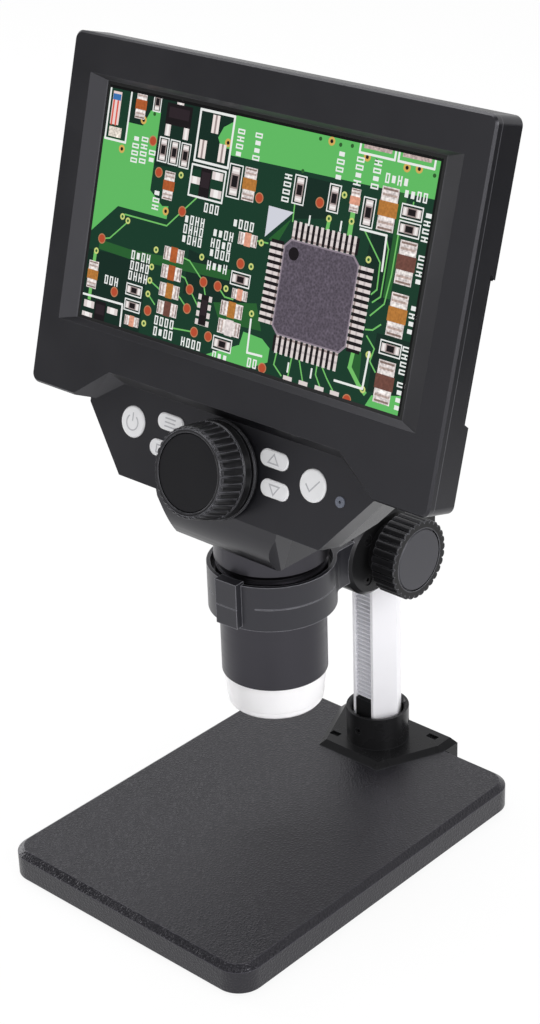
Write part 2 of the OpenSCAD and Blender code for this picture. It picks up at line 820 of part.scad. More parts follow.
module pinion_shaft() {
    half = carriage_w / 2;
    color([0.75, 0.7, 0.55])
    translate([0, pinion_y, knob_z]) {
        rotate([0, 90, 0]) rotate([0, 0, 90]) translate([0, 0, -pinion_w / 2])
            gear(pinion_n, tooth_m, pinion_w, backlash);
        difference() {
            rod_x(-half + 1.3, knob_end - 2.2, 0, 0, shaft_r);
            difference() {
                rod_x(-7.4, -6.6, 0, 0, shaft_r + 1);
                rod_x(-8, -6, 0, 0, shaft_r - 0.4);
            }
        }
    }
}

module shaft_clip() {
    color([0.4, 0.4, 0.42])
    difference() {
        rod_x(-7.35, -6.65, pinion_y, knob_z, shaft_r + 1.6);
        rod_x(-8, -6, pinion_y, knob_z, shaft_r - 0.4 + seat);
        block(-8, -6, pinion_y - 1.6, pinion_y + 1.6, knob_z - 9, knob_z);
    }
}

module height_knob() {
    color([0.12, 0.12, 0.13])
    difference() {
        union() {
            translate([knob_x + 0.6, pinion_y, knob_z]) rotate([0, 90, 0])
                linear_extrude(knob_l - 0.6) rib_outline(knob_r, knob_ribs, 1.3);
            rod_x(knob_x, knob_x + 0.7, pinion_y, knob_z, knob_r - 1.3);
        }
        rod_x(knob_x - 1, knob_end - 2, pinion_y, knob_z, shaft_r + seat);
        difference() {
            rod_x(knob_x - 1, knob_end - 3.5, pinion_y, knob_z, knob_r - 3.6);
            rod_x(knob_x - 2, knob_end, pinion_y, knob_z, shaft_r + 2.4);
        }
        rod_x(knob_end - 1.2, knob_end + 1, pinion_y, knob_z, knob_r * 0.72);
    }
}

module knob_cap() {
    color([0.13, 0.13, 0.14])
    rod_x(knob_end - 1.2 + seat, knob_end - 0.15, pinion_y, knob_z, knob_r * 0.72 - 0.2);
}

// ---- head shells ---------------------------------------------------------------

// Six-sided outline of the lower housing, drawn smaller by inset
module housing_outline(inset) {
    k = inset * 0.75;
    polygon([
        [-panel_low_w + k * 0.6, -panel_low + inset], [panel_low_w - k * 0.6, -panel_low + inset],
        [panel_wide - inset, -panel_mid], [panel_wide - inset, -42],
        [52 - inset, -24 - inset], [-52 + inset, -24 - inset],
        [-panel_wide + inset, -42], [-panel_wide + inset, -panel_mid]
    ]);
}

// Lower housing between two depths, with its sloping lower back edge
module housing_body(inset, d0, d1) {
    head()
    difference() {
        translate([0, 0, d0]) linear_extrude(d1 - d0) housing_outline(inset);
        translate([0, inset * 0.8, inset * 0.6])
            along_x(big)
                polygon([
                    [-88, housing_d - 0.01], [-panel_low - 2, housing_d + 8.6],
                    [-panel_low - 40, housing_d + 8.6], [-panel_low - 40, housing_d - 20],
                    [-88, housing_d - 20]
                ]);
    }
}

// Side outline of the chin and the column behind it, in Y and Z
module chin_outline(inset) {
    top_y = depth_of(-panel_low, panel_d) + inset;
    top_z = height_of(-panel_low, panel_d);
    low_y = barrel_y - chin_fore + inset;
    low_z = chin_z + inset;
    bulge = 1.7;
    polygon(concat(
        [for (k = [0 : 8])
            [top_y + (low_y - top_y) * k / 8 - bulge * sin(k * 22.5) * (1 + 0.1 * k),
             top_z + (low_z - top_z) * k / 8]],
        [[barrel_y + chin_back - inset, low_z], [barrel_y + chin_back - inset, chin_z + 23 - inset * 0.6],
         [depth_of(-46, housing_d) - inset, height_of(-46, housing_d) - inset],
         [depth_of(-60, -10), height_of(-60, -10)],
         [depth_of(-panel_low + inset, panel_d - 4), height_of(-panel_low + inset, panel_d - 4)]]));
}

// Plan of the chin with its two front corners cut by cut, widened by flare
module chin_plan(inset, flare, cut) {
    half = chin_w + flare - inset;
    front = barrel_y - chin_fore + inset * 0.6 - flare * 3;
    polygon([
        [-half, barrel_y + chin_back + 5], [-half, front + cut], [-half + cut, front - 0.2],
        [half - cut, front - 0.2], [half, front + cut], [half, barrel_y + chin_back + 5]
    ]);
}

module chin_body(inset) {
    intersection() {
        along_x(4 * chin_w) chin_outline(inset);
        hull() {
            translate([0, 0, chin_z - 1]) linear_extrude(eps) chin_plan(inset, 0, chin_cut_low);
            translate([0, 0, chin_z + 18]) linear_extrude(eps) chin_plan(inset, 4, chin_cut_top);
            translate([0, 0, chin_z + 100]) linear_extrude(eps) chin_plan(inset, 4, chin_cut_top);
        }
    }
}

module frame_body() {
    translate([0, frame_c, -joint_depth])
        slab(frame_w, frame_h, frame_r, joint_depth + frame_lip - frame_bevel);
    translate([0, frame_c, frame_lip - frame_bevel])
        bevel_slab(frame_w, frame_h, frame_r, frame_bevel, frame_bevel);
}

module rear_body(inset) {
    h = frame_h - 0.8 + rear_lip;
    translate([0, frame_c - (rear_lip + 0.8) / 2, -joint_depth])
        mirror([0, 0, 1])
            bevel_slab(frame_w - 1.6 - 2.4 * inset, h - 2.4 * inset, 9, rear_depth - inset,
                       rear_slope * (rear_depth - inset) / rear_depth);
}

// Sloping cut that frees the control panel from the frame
module panel_recess() {
    hull() {
        translate([0, 0, panel_d]) linear_extrude(eps)
            polygon([
                [-panel_wide, -panel_mid], [-panel_top_w, -panel_top], [panel_top_w, -panel_top],
                [panel_wide, -panel_mid], [panel_wide, -panel_low - 5], [-panel_wide, -panel_low - 5]
            ]);
        translate([0, 0, frame_lip + 0.05]) linear_extrude(eps)
            polygon([
                [-panel_wide - ledge, -panel_mid + ledge * 0.55],
                [-panel_top_w - ledge * 0.75, -panel_top + ledge],
                [panel_top_w + ledge * 0.75, -panel_top + ledge],
                [panel_wide + ledge, -panel_mid + ledge * 0.55],
                [panel_wide + ledge, -panel_low - 5], [-panel_wide - ledge, -panel_low - 5]
            ]);
    }
}

// Window with sloping sides in front of the picture
module window() {
    hull() {
        translate([0, 0, 0]) cube([screen_w + 2.4, screen_h + 2.4, eps], center = true);
        translate([0, -0.2, frame_lip + 0.05])
            cube([screen_w + 18.4, screen_h + 6.5, eps], center = true);
    }
    cube([screen_w + 2.4, screen_h + 2.4, 6], center = true);
}

// Notch in the right side that frees the connectors
module port_notch(grow) {
    translate([port_x - grow, 0, 0])
        rotate([0, 90, 0])
            linear_extrude(20)
                polygon([
                    [-port_d - grow, port_u0 + 2 - grow], [-port_d + 4, port_u0 - grow],
                    [40, port_u0 - grow], [40, port_u1 + grow],
                    [-port_d + 4, port_u1 + grow], [-port_d - grow, port_u1 + 3 + grow]
                ]);
}

module front_outer() {
    difference() {
        union() {
            head() frame_body();
            housing_body(0, housing_d, panel_d);
            chin_body(0);
        }
        head() panel_recess();
        head() port_notch(0);
    }
}

module rear_outer() {
    difference() {
        union() {
            head() rear_body(0);
            housing_body(0, housing_d, panel_d);
            chin_body(0);
        }
        head() port_notch(0);
    }
}

module head_cavity() {
    w = frame_w - 2 * shell_wall;
    side = panel_wide + ledge + shell_wall;
    difference() {
        union() {
            head() {
                block(-w / 2, w / 2, -panel_top + ledge + shell_wall, frame_u1 - shell_wall,
                      -joint_depth - eps, 0);
                block(-w / 2, w / 2, frame_u0 + shell_wall, 0, -joint_depth - eps, panel_d - shell_wall);
                for (s = [-1, 1])
                    block(min(s * w / 2, s * side), max(s * w / 2, s * side), frame_u0 + shell_wall, 0,
                          -joint_depth - eps, 0);
                rear_body(shell_wall);
            }
            housing_body(shell_wall, housing_d + shell_wall, panel_d - shell_wall);
            chin_body(shell_wall);
        }
        head() port_notch(shell_wall);
    }
}

module front_side() {
    head() along_x(big)
        polygon([
            [big, -joint_depth], [-75, -joint_depth], [-115, -joint_depth - 4],
            [-150, -joint_depth - 7.5], [-150, 60], [big, 60]
        ]);
}

module button_holes(grow) {
    head() translate([0, 0, -30]) {
        for (s = [-1, 1]) {
            translate([s * round_x - key_shift, round_u, 0]) cylinder(h = 40, r = round_r + grow);
            translate([s * upper_x - key_shift, upper_u, 0]) linear_extrude(40) long_shape(grow);
            translate([s * lower_x - key_shift, lower_u, 0]) linear_extrude(40) long_shape(grow);
        }
    }
}

module long_shape(grow) {
    w = long_w + 2 * grow;
    l = long_l + 2 * grow;
    square([l - w, w], center = true);
    for (s = [-1, 1])
        translate([s * (l - w) / 2, 0]) circle(w / 2);
}

module port_holes() {
    head() {
        block(port_x - 8, port_x + 1, usb_u - 4.7, usb_u + 4.7, board_d - 0.2, board_d + 3.4);
        block(port_x - 8, port_x + 1, card_u - 6.3, card_u + 6.3, board_d - 0.2, board_d + 2.1);
    }
}

// Room for the barrel's collar and the flange that the two shells hold
module barrel_room() {
    at_barrel(chin_z - 1) cylinder(h = 6, r = collar_r + seat);
}

module front_shell() {
    color([0.14, 0.14, 0.15])
    difference() {
        union() {
            difference() {
                intersection() {
                    front_outer();
                    front_side();
                }
                head_cavity();
            }
            head() {
                for (p = shell_screw_at)
                    rod(p[0], p[1], -joint_depth, p[1] > -65 ? 0.5 : panel_d - 1.5, 2.7);
                for (p = post_at)
                    rod(p[0], p[1], keys_d + seat, panel_d - 1.5, 2.2);
            }
        }
        head() {
            window();
            for (p = shell_screw_at) rod(p[0], p[1], -joint_depth - 1, -joint_depth + 6, 0.95);
            rod(lens_at[0], lens_at[1], -30, 10, 2 + seat);
            rod(0, -focus_down, -30, 10, 5 + seat);
        }
        button_holes(slip);
        port_holes();
        barrel_room();
    }
}

module rear_shell() {
    color([0.13, 0.13, 0.14])
    difference() {
        union() {
            difference() {
                difference() {
                    rear_outer();
                    front_side();
                }
                head_cavity();
            }
            head() {
                for (p = shell_screw_at)
                    rod(p[0], p[1], p[1] < -65 ? housing_d + 1 : rear_d + 1, -joint_depth - seat, 2.7);
                for (p = board_hole_at)
                    rod(p[0], p[1], rear_d + 1, board_d - 1.6 - seat, 2.4);
            }
            intersection() {
                head() rod(0, -focus_down, cross_d - 30, cross_d - 8, 5.4);
                chin_body(0.5);
            }
        }
        head() {
            for (p = shell_screw_at) {
                rod(p[0], p[1], housing_d - 2, -joint_depth + 1, 1.15);
                rod(p[0], p[1], housing_d - 2, p[1] < -65 ? housing_d + 2.4 : rear_d + 1.4, 2.1);
            }
            rod(0, -focus_down, cross_d - 14, 0, shaft_r + run);
        }
        port_holes();
        barrel_room();
    }
}

module shell_screws() {
    color([0.5, 0.5, 0.52])
    head()
        for (p = shell_screw_at)
            translate([p[0], p[1], p[1] < -65 ? housing_d + 2.4 - seat : rear_d + 1.4 - seat])
                mirror([0, 0, 1])
                    screw_down(p[1] < -65 ? 13 : 9, 0.9, 1.95, 1);
}

// ---- inside the head ---------------------------------------------------------

module lcd_panel() {
    color([0.1, 0.3, 0.2])
    head() translate([0, -1, -1.55]) slab(module_w, module_h, 1, 1.5);
}

module lcd_backlight() {
    color([0.7, 0.7, 0.72])
    head() translate([0, -1, -5.7]) slab(module_w, module_h, 1, 4.1);
}

module main_board() {
    color([0.05, 0.35, 0.15])
    head() difference() {
        block(board_x0, board_x1, board_u0, board_u1, board_d - 1.6, board_d);
        for (p = board_hole_at)
            rod(p[0], p[1], board_d - 3, board_d + 1, 1.2);
    }
}

module board_parts() {
    color([0.08, 0.08, 0.09])
    head() translate([0, 0, board_d]) {
        block(-8, 8, 6, 22, seat, 1.6);
        block(20, 32, 4, 14, seat, 1.4);
        block(-36, -26, 10, 24, seat, 1.4);
        for (k = [0 : 4]) block(-40 + 9 * k, -35 + 9 * k, 34, 38, seat, 2.4);
        for (k = [0 : 2]) block(44 + 9 * k, 50 + 9 * k, 30, 36, seat, 3);
        block(-20, 16, -21, -17, seat, 1.8);
    }
}

module battery() {
    color([0.75, 0.76, 0.78])
    head() translate([0, battery_u, housing_d + shell_wall + seat])
        slab(battery_w, battery_h, 2.5, 5);
}

module ribbon_cable() {
    t = 0.3;
    path = [
        [barrel_y + 11, sensor_z + board_t + seat], [barrel_y + 11, flange_z + 8],
        [depth_of(-76, -14), height_of(-76, -14)],
        [depth_of(-21.5, board_d + 2.4), height_of(-21.5, board_d + 2.4)]
    ];
    color([0.75, 0.55, 0.2])
    translate([-10.3, 0, 0]) along_x(cable_w)
        polygon(concat(path, [for (i = [3 : -1 : 0]) path[i] + [t, 0]]));
}

module button_board() {
    color([0.05, 0.35, 0.15])
    head() difference() {
        translate([0, 0, keys_d - 1.2]) linear_extrude(1.2)
            polygon([[-44, -94], [44, -94], [62, -74], [62, -70], [-62, -70], [-62, -74]]);
        rod(0, -focus_down, -30, 0, 8.5);
        for (p = [[60, -71], [-60, -71]]) rod(p[0], p[1], -30, 0, 3.1);
    }
}

module key_switches() {
    color([0.3, 0.3, 0.32])
    head()
        for (p = [power_at, ok_at, menu_at, up_at, camera_at, down_at])
            difference() {
                block(p[0] - 3, p[0] + 3, p[1] - 3, p[1] + 3, keys_d + seat, switch_top_d);
                rod(p[0], p[1], keys_d + 1.2, switch_top_d + eps, 1.9);
            }
}

module indicator_lens() {
    color([0.75, 0.76, 0.8])
    head() difference() {
        union() {
            rod(lens_at[0], lens_at[1], keys_d + seat, panel_d + 0.4, 2);
            rod(lens_at[0], lens_at[1], panel_d - shell_wall - 0.9, panel_d - shell_wall - seat, 2.7);
        }
        rod(lens_at[0], lens_at[1], panel_d - 0.4, panel_d + 1, 0.55);
    }
}

module usb_port() {
    color([0.7, 0.7, 0.72])
    head() difference() {
        block(port_x - 7.4, port_x - 0.4, usb_u - 4.5, usb_u + 4.5, board_d + seat, board_d + 3.2);
        block(port_x - 6, port_x + 1, usb_u - 4.1, usb_u + 4.1, board_d + 0.45, board_d + 2.8);
    }
}

module card_slot() {
    color([0.7, 0.7, 0.72])
    head() difference() {
        block(port_x - 15, port_x - 0.4, card_u - 6.1, card_u + 6.1, board_d + seat, board_d + 1.9);
        block(port_x - 14, port_x + 1, card_u - 5.6, card_u + 5.6, board_d + 0.5, board_d + 1.4);
    }
}

// ---- barrel ------------------------------------------------------------------

module lens_barrel() {
    color([0.15, 0.15, 0.17])
    difference() {
        union() {
            at_barrel(barrel_z) cylinder(h = barrel_l + collar_up + 1, r = barrel_r);
            at_barrel(seat_z + 2 * run) cylinder(h = ring_seat_h - 0.5, r = shoulder_r);
            at_barrel(collar_z) cylinder(h = collar_slope, r1 = barrel_r - eps, r2 = collar_r);
            at_barrel(collar_z + collar_slope)
                cylinder(h = flange_z - collar_z - collar_slope + 0.1, r = collar_r);
            intersection() {
                at_barrel(flange_z + seat) cylinder(h = flange_t, r = collar_r + 2.4);
                block(-chin_w + shell_wall + 0.6, chin_w - shell_wall - 0.6, barrel_y - collar_r + 0.5,
                      barrel_y + collar_r - 0.2, flange_z, flange_z + 5);
            }
        }
        at_barrel(led_board_z + board_t + 2) cylinder(h = 100, r = bore_r);
        at_barrel(barrel_z - 1) cylinder(h = 100, r = bore_r - 1.4);
        at_barrel(barrel_z - 1) cylinder(h = led_board_z + board_t + 1 - barrel_z, r = bore_r);
        at_barrel(sensor_z) cylinder(h = 100, r = sensor_ledge_r);
    }
}

module light_cap() {
    wall = 1.9;
    line = 0.25;
    edge_h = 1;
    color([0.9, 0.9, 0.92, 0.6])
    at_barrel(barrel_z)
    difference() {
        union() {
            translate([0, 0, -cap_h + cap_band])
                cylinder(h = cap_h - cap_band - seat, r1 = cap_low_r + 0.3, r2 = cap_r);
            translate([0, 0, -cap_h + cap_band - line]) cylinder(h = line + eps, r = cap_low_r - line);
            translate([0, 0, -cap_h + edge_h + line])
                cylinder(h = cap_band - edge_h - 2 * line + eps, r = cap_low_r);
            translate([0, 0, -cap_h + edge_h]) cylinder(h = line + eps, r = cap_low_r - line);
            translate([0, 0, -cap_h]) cylinder(h = edge_h + eps, r1 = cap_low_r - 0.8, r2 = cap_low_r);
            translate([0, 0, -1]) cylinder(h = led_board_z - barrel_z + 1 - seat, r = bore_r - seat);
        }
        translate([0, 0, -cap_h + 1.5])
            cylinder(h = cap_h - 3, r1 = cap_low_r - wall, r2 = cap_r - wall - 0.7);
        translate([0, 0, -1.6]) cylinder(h = 12, r = bore_r - 1.6);
        translate([0, 0, -cap_h - 1]) cylinder(h = 4, r = cap_hole_r);
    }
}

module led_board() {
    color([0.9, 0.9, 0.9])
    at_barrel(led_board_z)
    difference() {
        cylinder(h = board_t, r = bore_r - seat);
        translate([0, 0, -1]) cylinder(h = 4, r = 8);
    }
}

module white_leds() {
    color([0.95, 0.93, 0.7])
    at_barrel(led_board_z - seat - 0.9)
        for (i = [0 : led_n - 1])
            rotate([0, 0, i * 360 / led_n]) block(11.2, 14.4, -1.4, 1.4, 0, 0.9);
}

module sensor_board() {
    color([0.05, 0.35, 0.15])
    at_barrel(0)
    difference() {
        union() {
            rod(0, 0, sensor_z, sensor_z + board_t, sensor_ledge_r - seat);
            block(-5, 5, -5, 5, sensor_z - 2, sensor_z + eps);
        }
        block(10.6, 17.4, -4.4, 4.4, sensor_z - 3, sensor_z + 3);
    }
}

// ---- focus drive ---------------------------------------------------------------

module focus_bush() {
    color([0.75, 0.7, 0.55])
    head() translate([0, -focus_down, 0])
    difference() {
        union() {
            rod(0, 0, panel_d - shell_wall - 1.5, panel_d - shell_wall - seat, 7);
            rod(0, 0, panel_d - shell_wall - 1, panel_d, 5);
        }
        rod(0, 0, -30, 10, shaft_r + run);
    }
}

module focus_knob() {
    ribs_d = 3.6;
    ribs_l = focus_face - 0.4 - ribs_d;
    skirt_top = panel_d + 2.7;
    color([0.09, 0.09, 0.1])
    head() translate([0, -focus_down, 0])
    difference() {
        union() {
            translate([0, 0, panel_d + 0.3])
                cylinder(h = 1.4, r1 = focus_skirt_r - 0.9, r2 = focus_skirt_r);
            rod(0, 0, panel_d + 1.6, skirt_top, focus_skirt_r);
            rod(0, 0, skirt_top - eps, skirt_top + 1, focus_rear_r - 1.2);
            rod(0, 0, skirt_top + 0.9, ribs_d, focus_rear_r + 0.2);
            translate([0, 0, ribs_d - eps]) rotate([0, 0, 2])
                linear_extrude(ribs_l + eps, scale = focus_r / focus_rear_r)
                    rib_outline(focus_rear_r, focus_ribs, 0.9);
            translate([0, 0, focus_face - 0.4 - eps])
                cylinder(h = 0.4 + eps, r1 = focus_r - 0.9, r2 = focus_r - 1.2);
        }
        rod(0, 0, panel_d - 1, focus_face - 3, shaft_r + seat);
        difference() {
            rod(0, 0, panel_d - 1, focus_face - 3.6, focus_r - 3.4);
            rod(0, 0, panel_d - 2, focus_face, shaft_r + 2.6);
        }
        rod(0, 0, focus_face - 1.2, focus_face + 1, focus_face_r - 0.5);
    }
}

module focus_cap() {
    color([0.1, 0.1, 0.11])
    head() rod(0, -focus_down, focus_face - 1.2 + seat, focus_face - 0.35, focus_face_r - 0.6);
}

module focus_shaft() {
    color([0.7, 0.7, 0.72])
    head() translate([0, -focus_down, 0]) {
        rod(0, 0, cross_d - 13.4, focus_face - 3.2, shaft_r);
        translate([0, 0, cross_d - 6]) rotate([0, 0, 180 / focus_n])
            gear(focus_n, tooth_m, 12, backlash);
    }
}

module lens_carrier() {
    bar_y = 3.6;
    rack_x = focus_pinion_r;
    teeth = 13;
    rack_l = teeth * PI * tooth_m;
    color([0.12, 0.12, 0.13])
    difference() {
        union() {
            at_barrel(carrier_z) difference() {
                cylinder(h = carrier_l, r = carrier_r);
                translate([0, 0, -1]) cylinder(h = carrier_l + 2, r = carrier_r - 1.6);
            }
            at_barrel(carrier_z) {
                rod(0, 0, carrier_l / 2 - 2, carrier_l / 2 + 1, carrier_r - 1);
                rod(0, 0, 1, carrier_l - 3, 8);
            }
            at_barrel(0) {
                block(12.4, 16.4, -bar_y, bar_y, carrier_z + carrier_l / 2, cross_z - 11);
                block(rack_x + dedendum + 0.4, 16.4, -bar_y, bar_y, cross_z - 14.4, cross_z - 11);
                block(rack_x + dedendum + 0.4, rack_x + 4.6, -bar_y, bar_y, cross_z - 14.4, cross_z + 12);
            }
            intersection() {
                head() translate([0, -focus_down, cross_d]) focus_teeth(rack_x, teeth, rack_l);
                at_barrel(0) block(0, rack_x + 4, -bar_y, bar_y, cross_z - 11.4, cross_z + 12);
            }
        }
        at_barrel(carrier_z) cylinder(h = 3 * carrier_l, r = 6 + seat, center = true);
    }
}

// Teeth that face the focus pinion, leaning with its axis
module focus_teeth(rack_x, teeth, rack_l) {
    translate([rack_x, 0, -12]) linear_extrude(24)
        polygon(concat(
            [for (p = rack_teeth(teeth, tooth_m, backlash)) [-p[1], p[0] - rack_l / 2]],
            [[dedendum + 0.8, rack_l / 2 + 2], [dedendum + 0.8, -rack_l / 2 - 2]]));
}

module lens_glass() {
    color([0.7, 0.8, 0.95, 0.5])
    at_barrel(carrier_z) {
        rod(0, 0, 2.6, 5.2, 6);
        rod(0, 0, 10, 12.4, 6);
    }
}

module lens_ring() {
    color([0.1, 0.1, 0.1])
    at_barrel(carrier_z)
    difference() {
        rod(0, 0, 1.1, 2.55, 6);
        rod(0, 0, 0, 4, 4.6);
    }
}

// ---- buttons ---------------------------------------------------------------------

module button_stem(p) {
    rod(p[0], p[1], keys_d + 2.6, key_flange_d, 1.7);
}

module round_button(p) {
    color([0.71, 0.71, 0.73])
    head() {
        rod(p[0], p[1], key_flange_d - eps, key_face - 0.5, round_r);
        translate([p[0], p[1], key_face - 0.5]) cylinder(h = 0.5, r1 = round_r, r2 = round_r - 0.5);
        rod(p[0], p[1], key_flange_d - key_flange_t, key_flange_d, round_r + 0.8);
        button_stem(p);
    }
}

module long_button(p) {
    color([0.71, 0.71, 0.73])
    head() {
        translate([p[0], p[1], key_flange_d - eps])
            linear_extrude(key_face - key_flange_d - 0.3) long_shape(0);
        translate([p[0], p[1], key_face - 0.32]) linear_extrude(0.32) long_shape(-0.3);
        translate([p[0], p[1], key_flange_d - key_flange_t]) linear_extrude(key_flange_t) long_shape(0.5);
        button_stem(p);
    }
}

module power_button() { round_button(power_at); }
module ok_button() { round_button(ok_at); }
module menu_button() { long_button(menu_at); }
module up_button() { long_button(up_at); }
module camera_button() { long_button(camera_at); }
module down_button() { long_button(down_at); }

// ---- the whole part ----------------------------------------------------------

base_shell();
base_cover();
base_weight();
rubber_feet();
base_screws();
pole_foot();
foot_screws();
pole_screw();
set_screws();
pole();
pole_cap();
gear_rack();
slot_key();
carriage_housing();
side_cover();
cover_screws();
ring_holder();
ring_screws();
brake_pad();
brake_spring();
brake_screw();
pinion_shaft();
height_knob();
knob_cap();
shaft_clip();
front_shell();
rear_shell();
shell_screws();
lcd_panel();
lcd_backlight();
main_board();
board_parts();
battery();
ribbon_cable();
button_board();
key_switches();
indicator_lens();
usb_port();
card_slot();
lens_barrel();
light_cap();
led_board();
white_leds();
sensor_board();
focus_bush();
focus_knob();
focus_cap();
focus_shaft();
lens_carrier();
lens_glass();
lens_ring();
power_button();
menu_button();
camera_button();
up_button();
down_button();
ok_button();
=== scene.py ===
"""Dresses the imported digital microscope: softened mouldings, ribbed knobs, button marks,
the picture on the screen, and every finish."""

import json
import math
import random

import bmesh
import bpy
from mathutils import Matrix, Vector


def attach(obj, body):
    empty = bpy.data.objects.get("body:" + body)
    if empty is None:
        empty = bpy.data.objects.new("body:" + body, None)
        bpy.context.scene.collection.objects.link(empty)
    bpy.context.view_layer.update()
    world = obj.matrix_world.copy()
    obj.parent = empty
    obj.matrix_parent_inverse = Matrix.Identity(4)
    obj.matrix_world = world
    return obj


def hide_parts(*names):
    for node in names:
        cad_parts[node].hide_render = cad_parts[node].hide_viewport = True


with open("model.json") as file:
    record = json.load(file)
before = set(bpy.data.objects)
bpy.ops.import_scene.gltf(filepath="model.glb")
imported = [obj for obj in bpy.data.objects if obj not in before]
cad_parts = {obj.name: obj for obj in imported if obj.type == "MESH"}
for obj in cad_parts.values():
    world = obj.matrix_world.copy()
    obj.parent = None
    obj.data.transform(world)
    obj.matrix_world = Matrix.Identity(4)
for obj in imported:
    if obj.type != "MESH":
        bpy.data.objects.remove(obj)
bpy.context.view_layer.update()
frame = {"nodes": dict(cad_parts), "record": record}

# ---- sizes as in the part's source, in millimetres where no MM is given ----
MM = 0.001
TILT = math.radians(15.7)
BARREL_Y = 8.4 * MM
SEAT_Z = 117.7 * MM
SCREEN_Y = BARREL_Y - 6.56 * MM
SCREEN_Z = SEAT_Z + 130.54 * MM
SCREEN_W = 154.08
SCREEN_H = 85.92
PANEL_D = -4.0
KNOB_AXIS = Vector((0, 56.197, 111.6)) * MM
KNOB_X0 = 21.4
KNOB_X1 = 33.0
KNOB_R = 16.1
FOCUS_U = -82.7
FOCUS_R = 16.7
FOCUS_REAR_R = 17.8
FOCUS_RIBS_D = 3.6
FOCUS_RIBS_L = 9.9
KEY_SHIFT = -1.7
KEY_FACE = PANEL_D + 0.5
PANEL_GLASS = -0.05
FRAME_W = 193.48
FRAME_TOP = 17.3
FRAME_LOW = 30.2
FRAME_R = 3.5
SEAM_D = -1.1
SEAM_HALF = 0.17
SEAM_PROUD = 0.02
SEAM_SUNK = 0.15
LAYER = 0.0035
FLOOR_Z = -0.8 * MM

# what is drawn with X across, Y up and Z out of the screen goes here
HEAD_MM = (Matrix.Translation((0, SCREEN_Y, SCREEN_Z)) @ Matrix.Rotation(math.pi / 2 - TILT, 4, "X")
           @ Matrix.Scale(MM, 4))
# what is drawn round Z, standing on the height knob's inner face, goes here
KNOB_MM = Matrix.Translation(KNOB_AXIS) @ Matrix.Rotation(math.pi / 2, 4, "Y") @ Matrix.Scale(MM, 4)


# ---- shader helpers ----

def srgb(r, g, b):
    """Linear colour of an 8-bit screen colour."""
    def lin(c):
        c /= 255
        return c / 12.92 if c <= 0.04045 else ((c + 0.055) / 1.055) ** 2.4
    return (lin(r), lin(g), lin(b), 1.0)


def shaded(colour, factor, most=math.inf):
    """The same colour with its light multiplied, up to the most."""
    return tuple(min(most, c * factor) for c in colour[:3]) + (1.0,)


def add(tree, kind, sockets=None, **settings):
    """A new node with these settings. Each socket gets a value or another node's output."""
    node = tree.nodes.new(kind if "Node" in kind else "ShaderNode" + kind)
    for label, value in settings.items():
        setattr(node, label, value)
    for label, value in (sockets or {}).items():
        if isinstance(value, bpy.types.NodeSocket):
            tree.links.new(value, node.inputs[label])
        else:
            node.inputs[label].default_value = value
    return node


def calc(tree, operation, *values, clamp=False):
    """The result of one sum."""
    sockets = dict(enumerate(values))
    return add(tree, "Math", sockets, operation=operation, use_clamp=clamp).outputs[0]


def times(tree, a, b):
    return calc(tree, "MULTIPLY", a, b)


def plus(tree, a, b):
    return calc(tree, "ADD", a, b)


def minus(tree, a, b):
    return calc(tree, "SUBTRACT", a, b)


def ramp(tree, value, low, high, start=0.0, end=1.0, kind="LINEAR"):
    """Runs from start to end while the value runs from low to high."""
    sockets = {"Value": value, "From Min": low, "From Max": high, "To Min": start, "To Max": end}
    return add(tree, "MapRange", sockets, interpolation_type=kind).outputs[0]


def fade(tree, value, low, high, start=0.0, end=1.0):
    """A ramp with a soft start and end."""
    return ramp(tree, value, low, high, start, end, "SMOOTHSTEP")


def per_mm(tree, size):
    """The scale at which a texture's cells are this many millimetres wide."""
    return calc(tree, "DIVIDE", 1000.0, size)


def shader_group(name, result, inputs):
    """A new shader node group: its tree, its inputs, and where on the piece a point lies."""
    tree = bpy.data.node_groups.new(name, "ShaderNodeTree")
    for label, value in inputs.items():
        socket = tree.interface.new_socket(name=label, in_out="INPUT", socket_type="NodeSocketFloat")
        socket.default_value = value
    tree.interface.new_socket(name=result, in_out="OUTPUT", socket_type="NodeSocketFloat")
    return tree, add(tree, "NodeGroupInput").outputs, add(tree, "TexCoord").outputs["Object"]


def give(tree, value):
    """Ends a node group with what it gives."""
    add(tree, "NodeGroupOutput", {0: value})
    return tree


def make_moulded_grain():
    """The fine spark-eroded texture of moulded plastic, as a height from 0 to 1."""
    tree, given, place = shader_group("moulded grain", "Height", {"Cell size mm": 0.5})
    at = {"Vector": place, "Scale": per_mm(tree, given["Cell size mm"])}
    cells = add(tree, "TexVoronoi", {"Smoothness": 0.6, **at}, feature="SMOOTH_F1")
    cloud = add(tree, "TexNoise", {"Detail": 3.0, **at})
    mixed = times(tree, cells.outputs["Distance"], cloud.outputs["Fac"])
    return give(tree, times(tree, mixed, 1.6))


def make_hide_grain():
    """Shallow wrinkled grain with soft round islands, as a height from 0 to 1."""
    tree, given, place = shader_group("hide grain", "Height", {"Cell size mm": 1.2})
    scale = per_mm(tree, given["Cell size mm"])
    warp = add(tree, "TexNoise", {"Vector": place, "Scale": scale, "Detail": 2.0})
    pull = add(tree, "VectorMath", {0: warp.outputs["Color"], "Scale": 0.0006}, operation="SCALE")
    moved = add(tree, "VectorMath", {0: place, 1: pull.outputs[0]}, operation="ADD")
    cells = add(tree, "TexVoronoi", {"Vector": moved.outputs[0], "Scale": scale}, feature="DISTANCE_TO_EDGE")
    return give(tree, fade(tree, cells.outputs["Distance"], 0.0, 0.35))


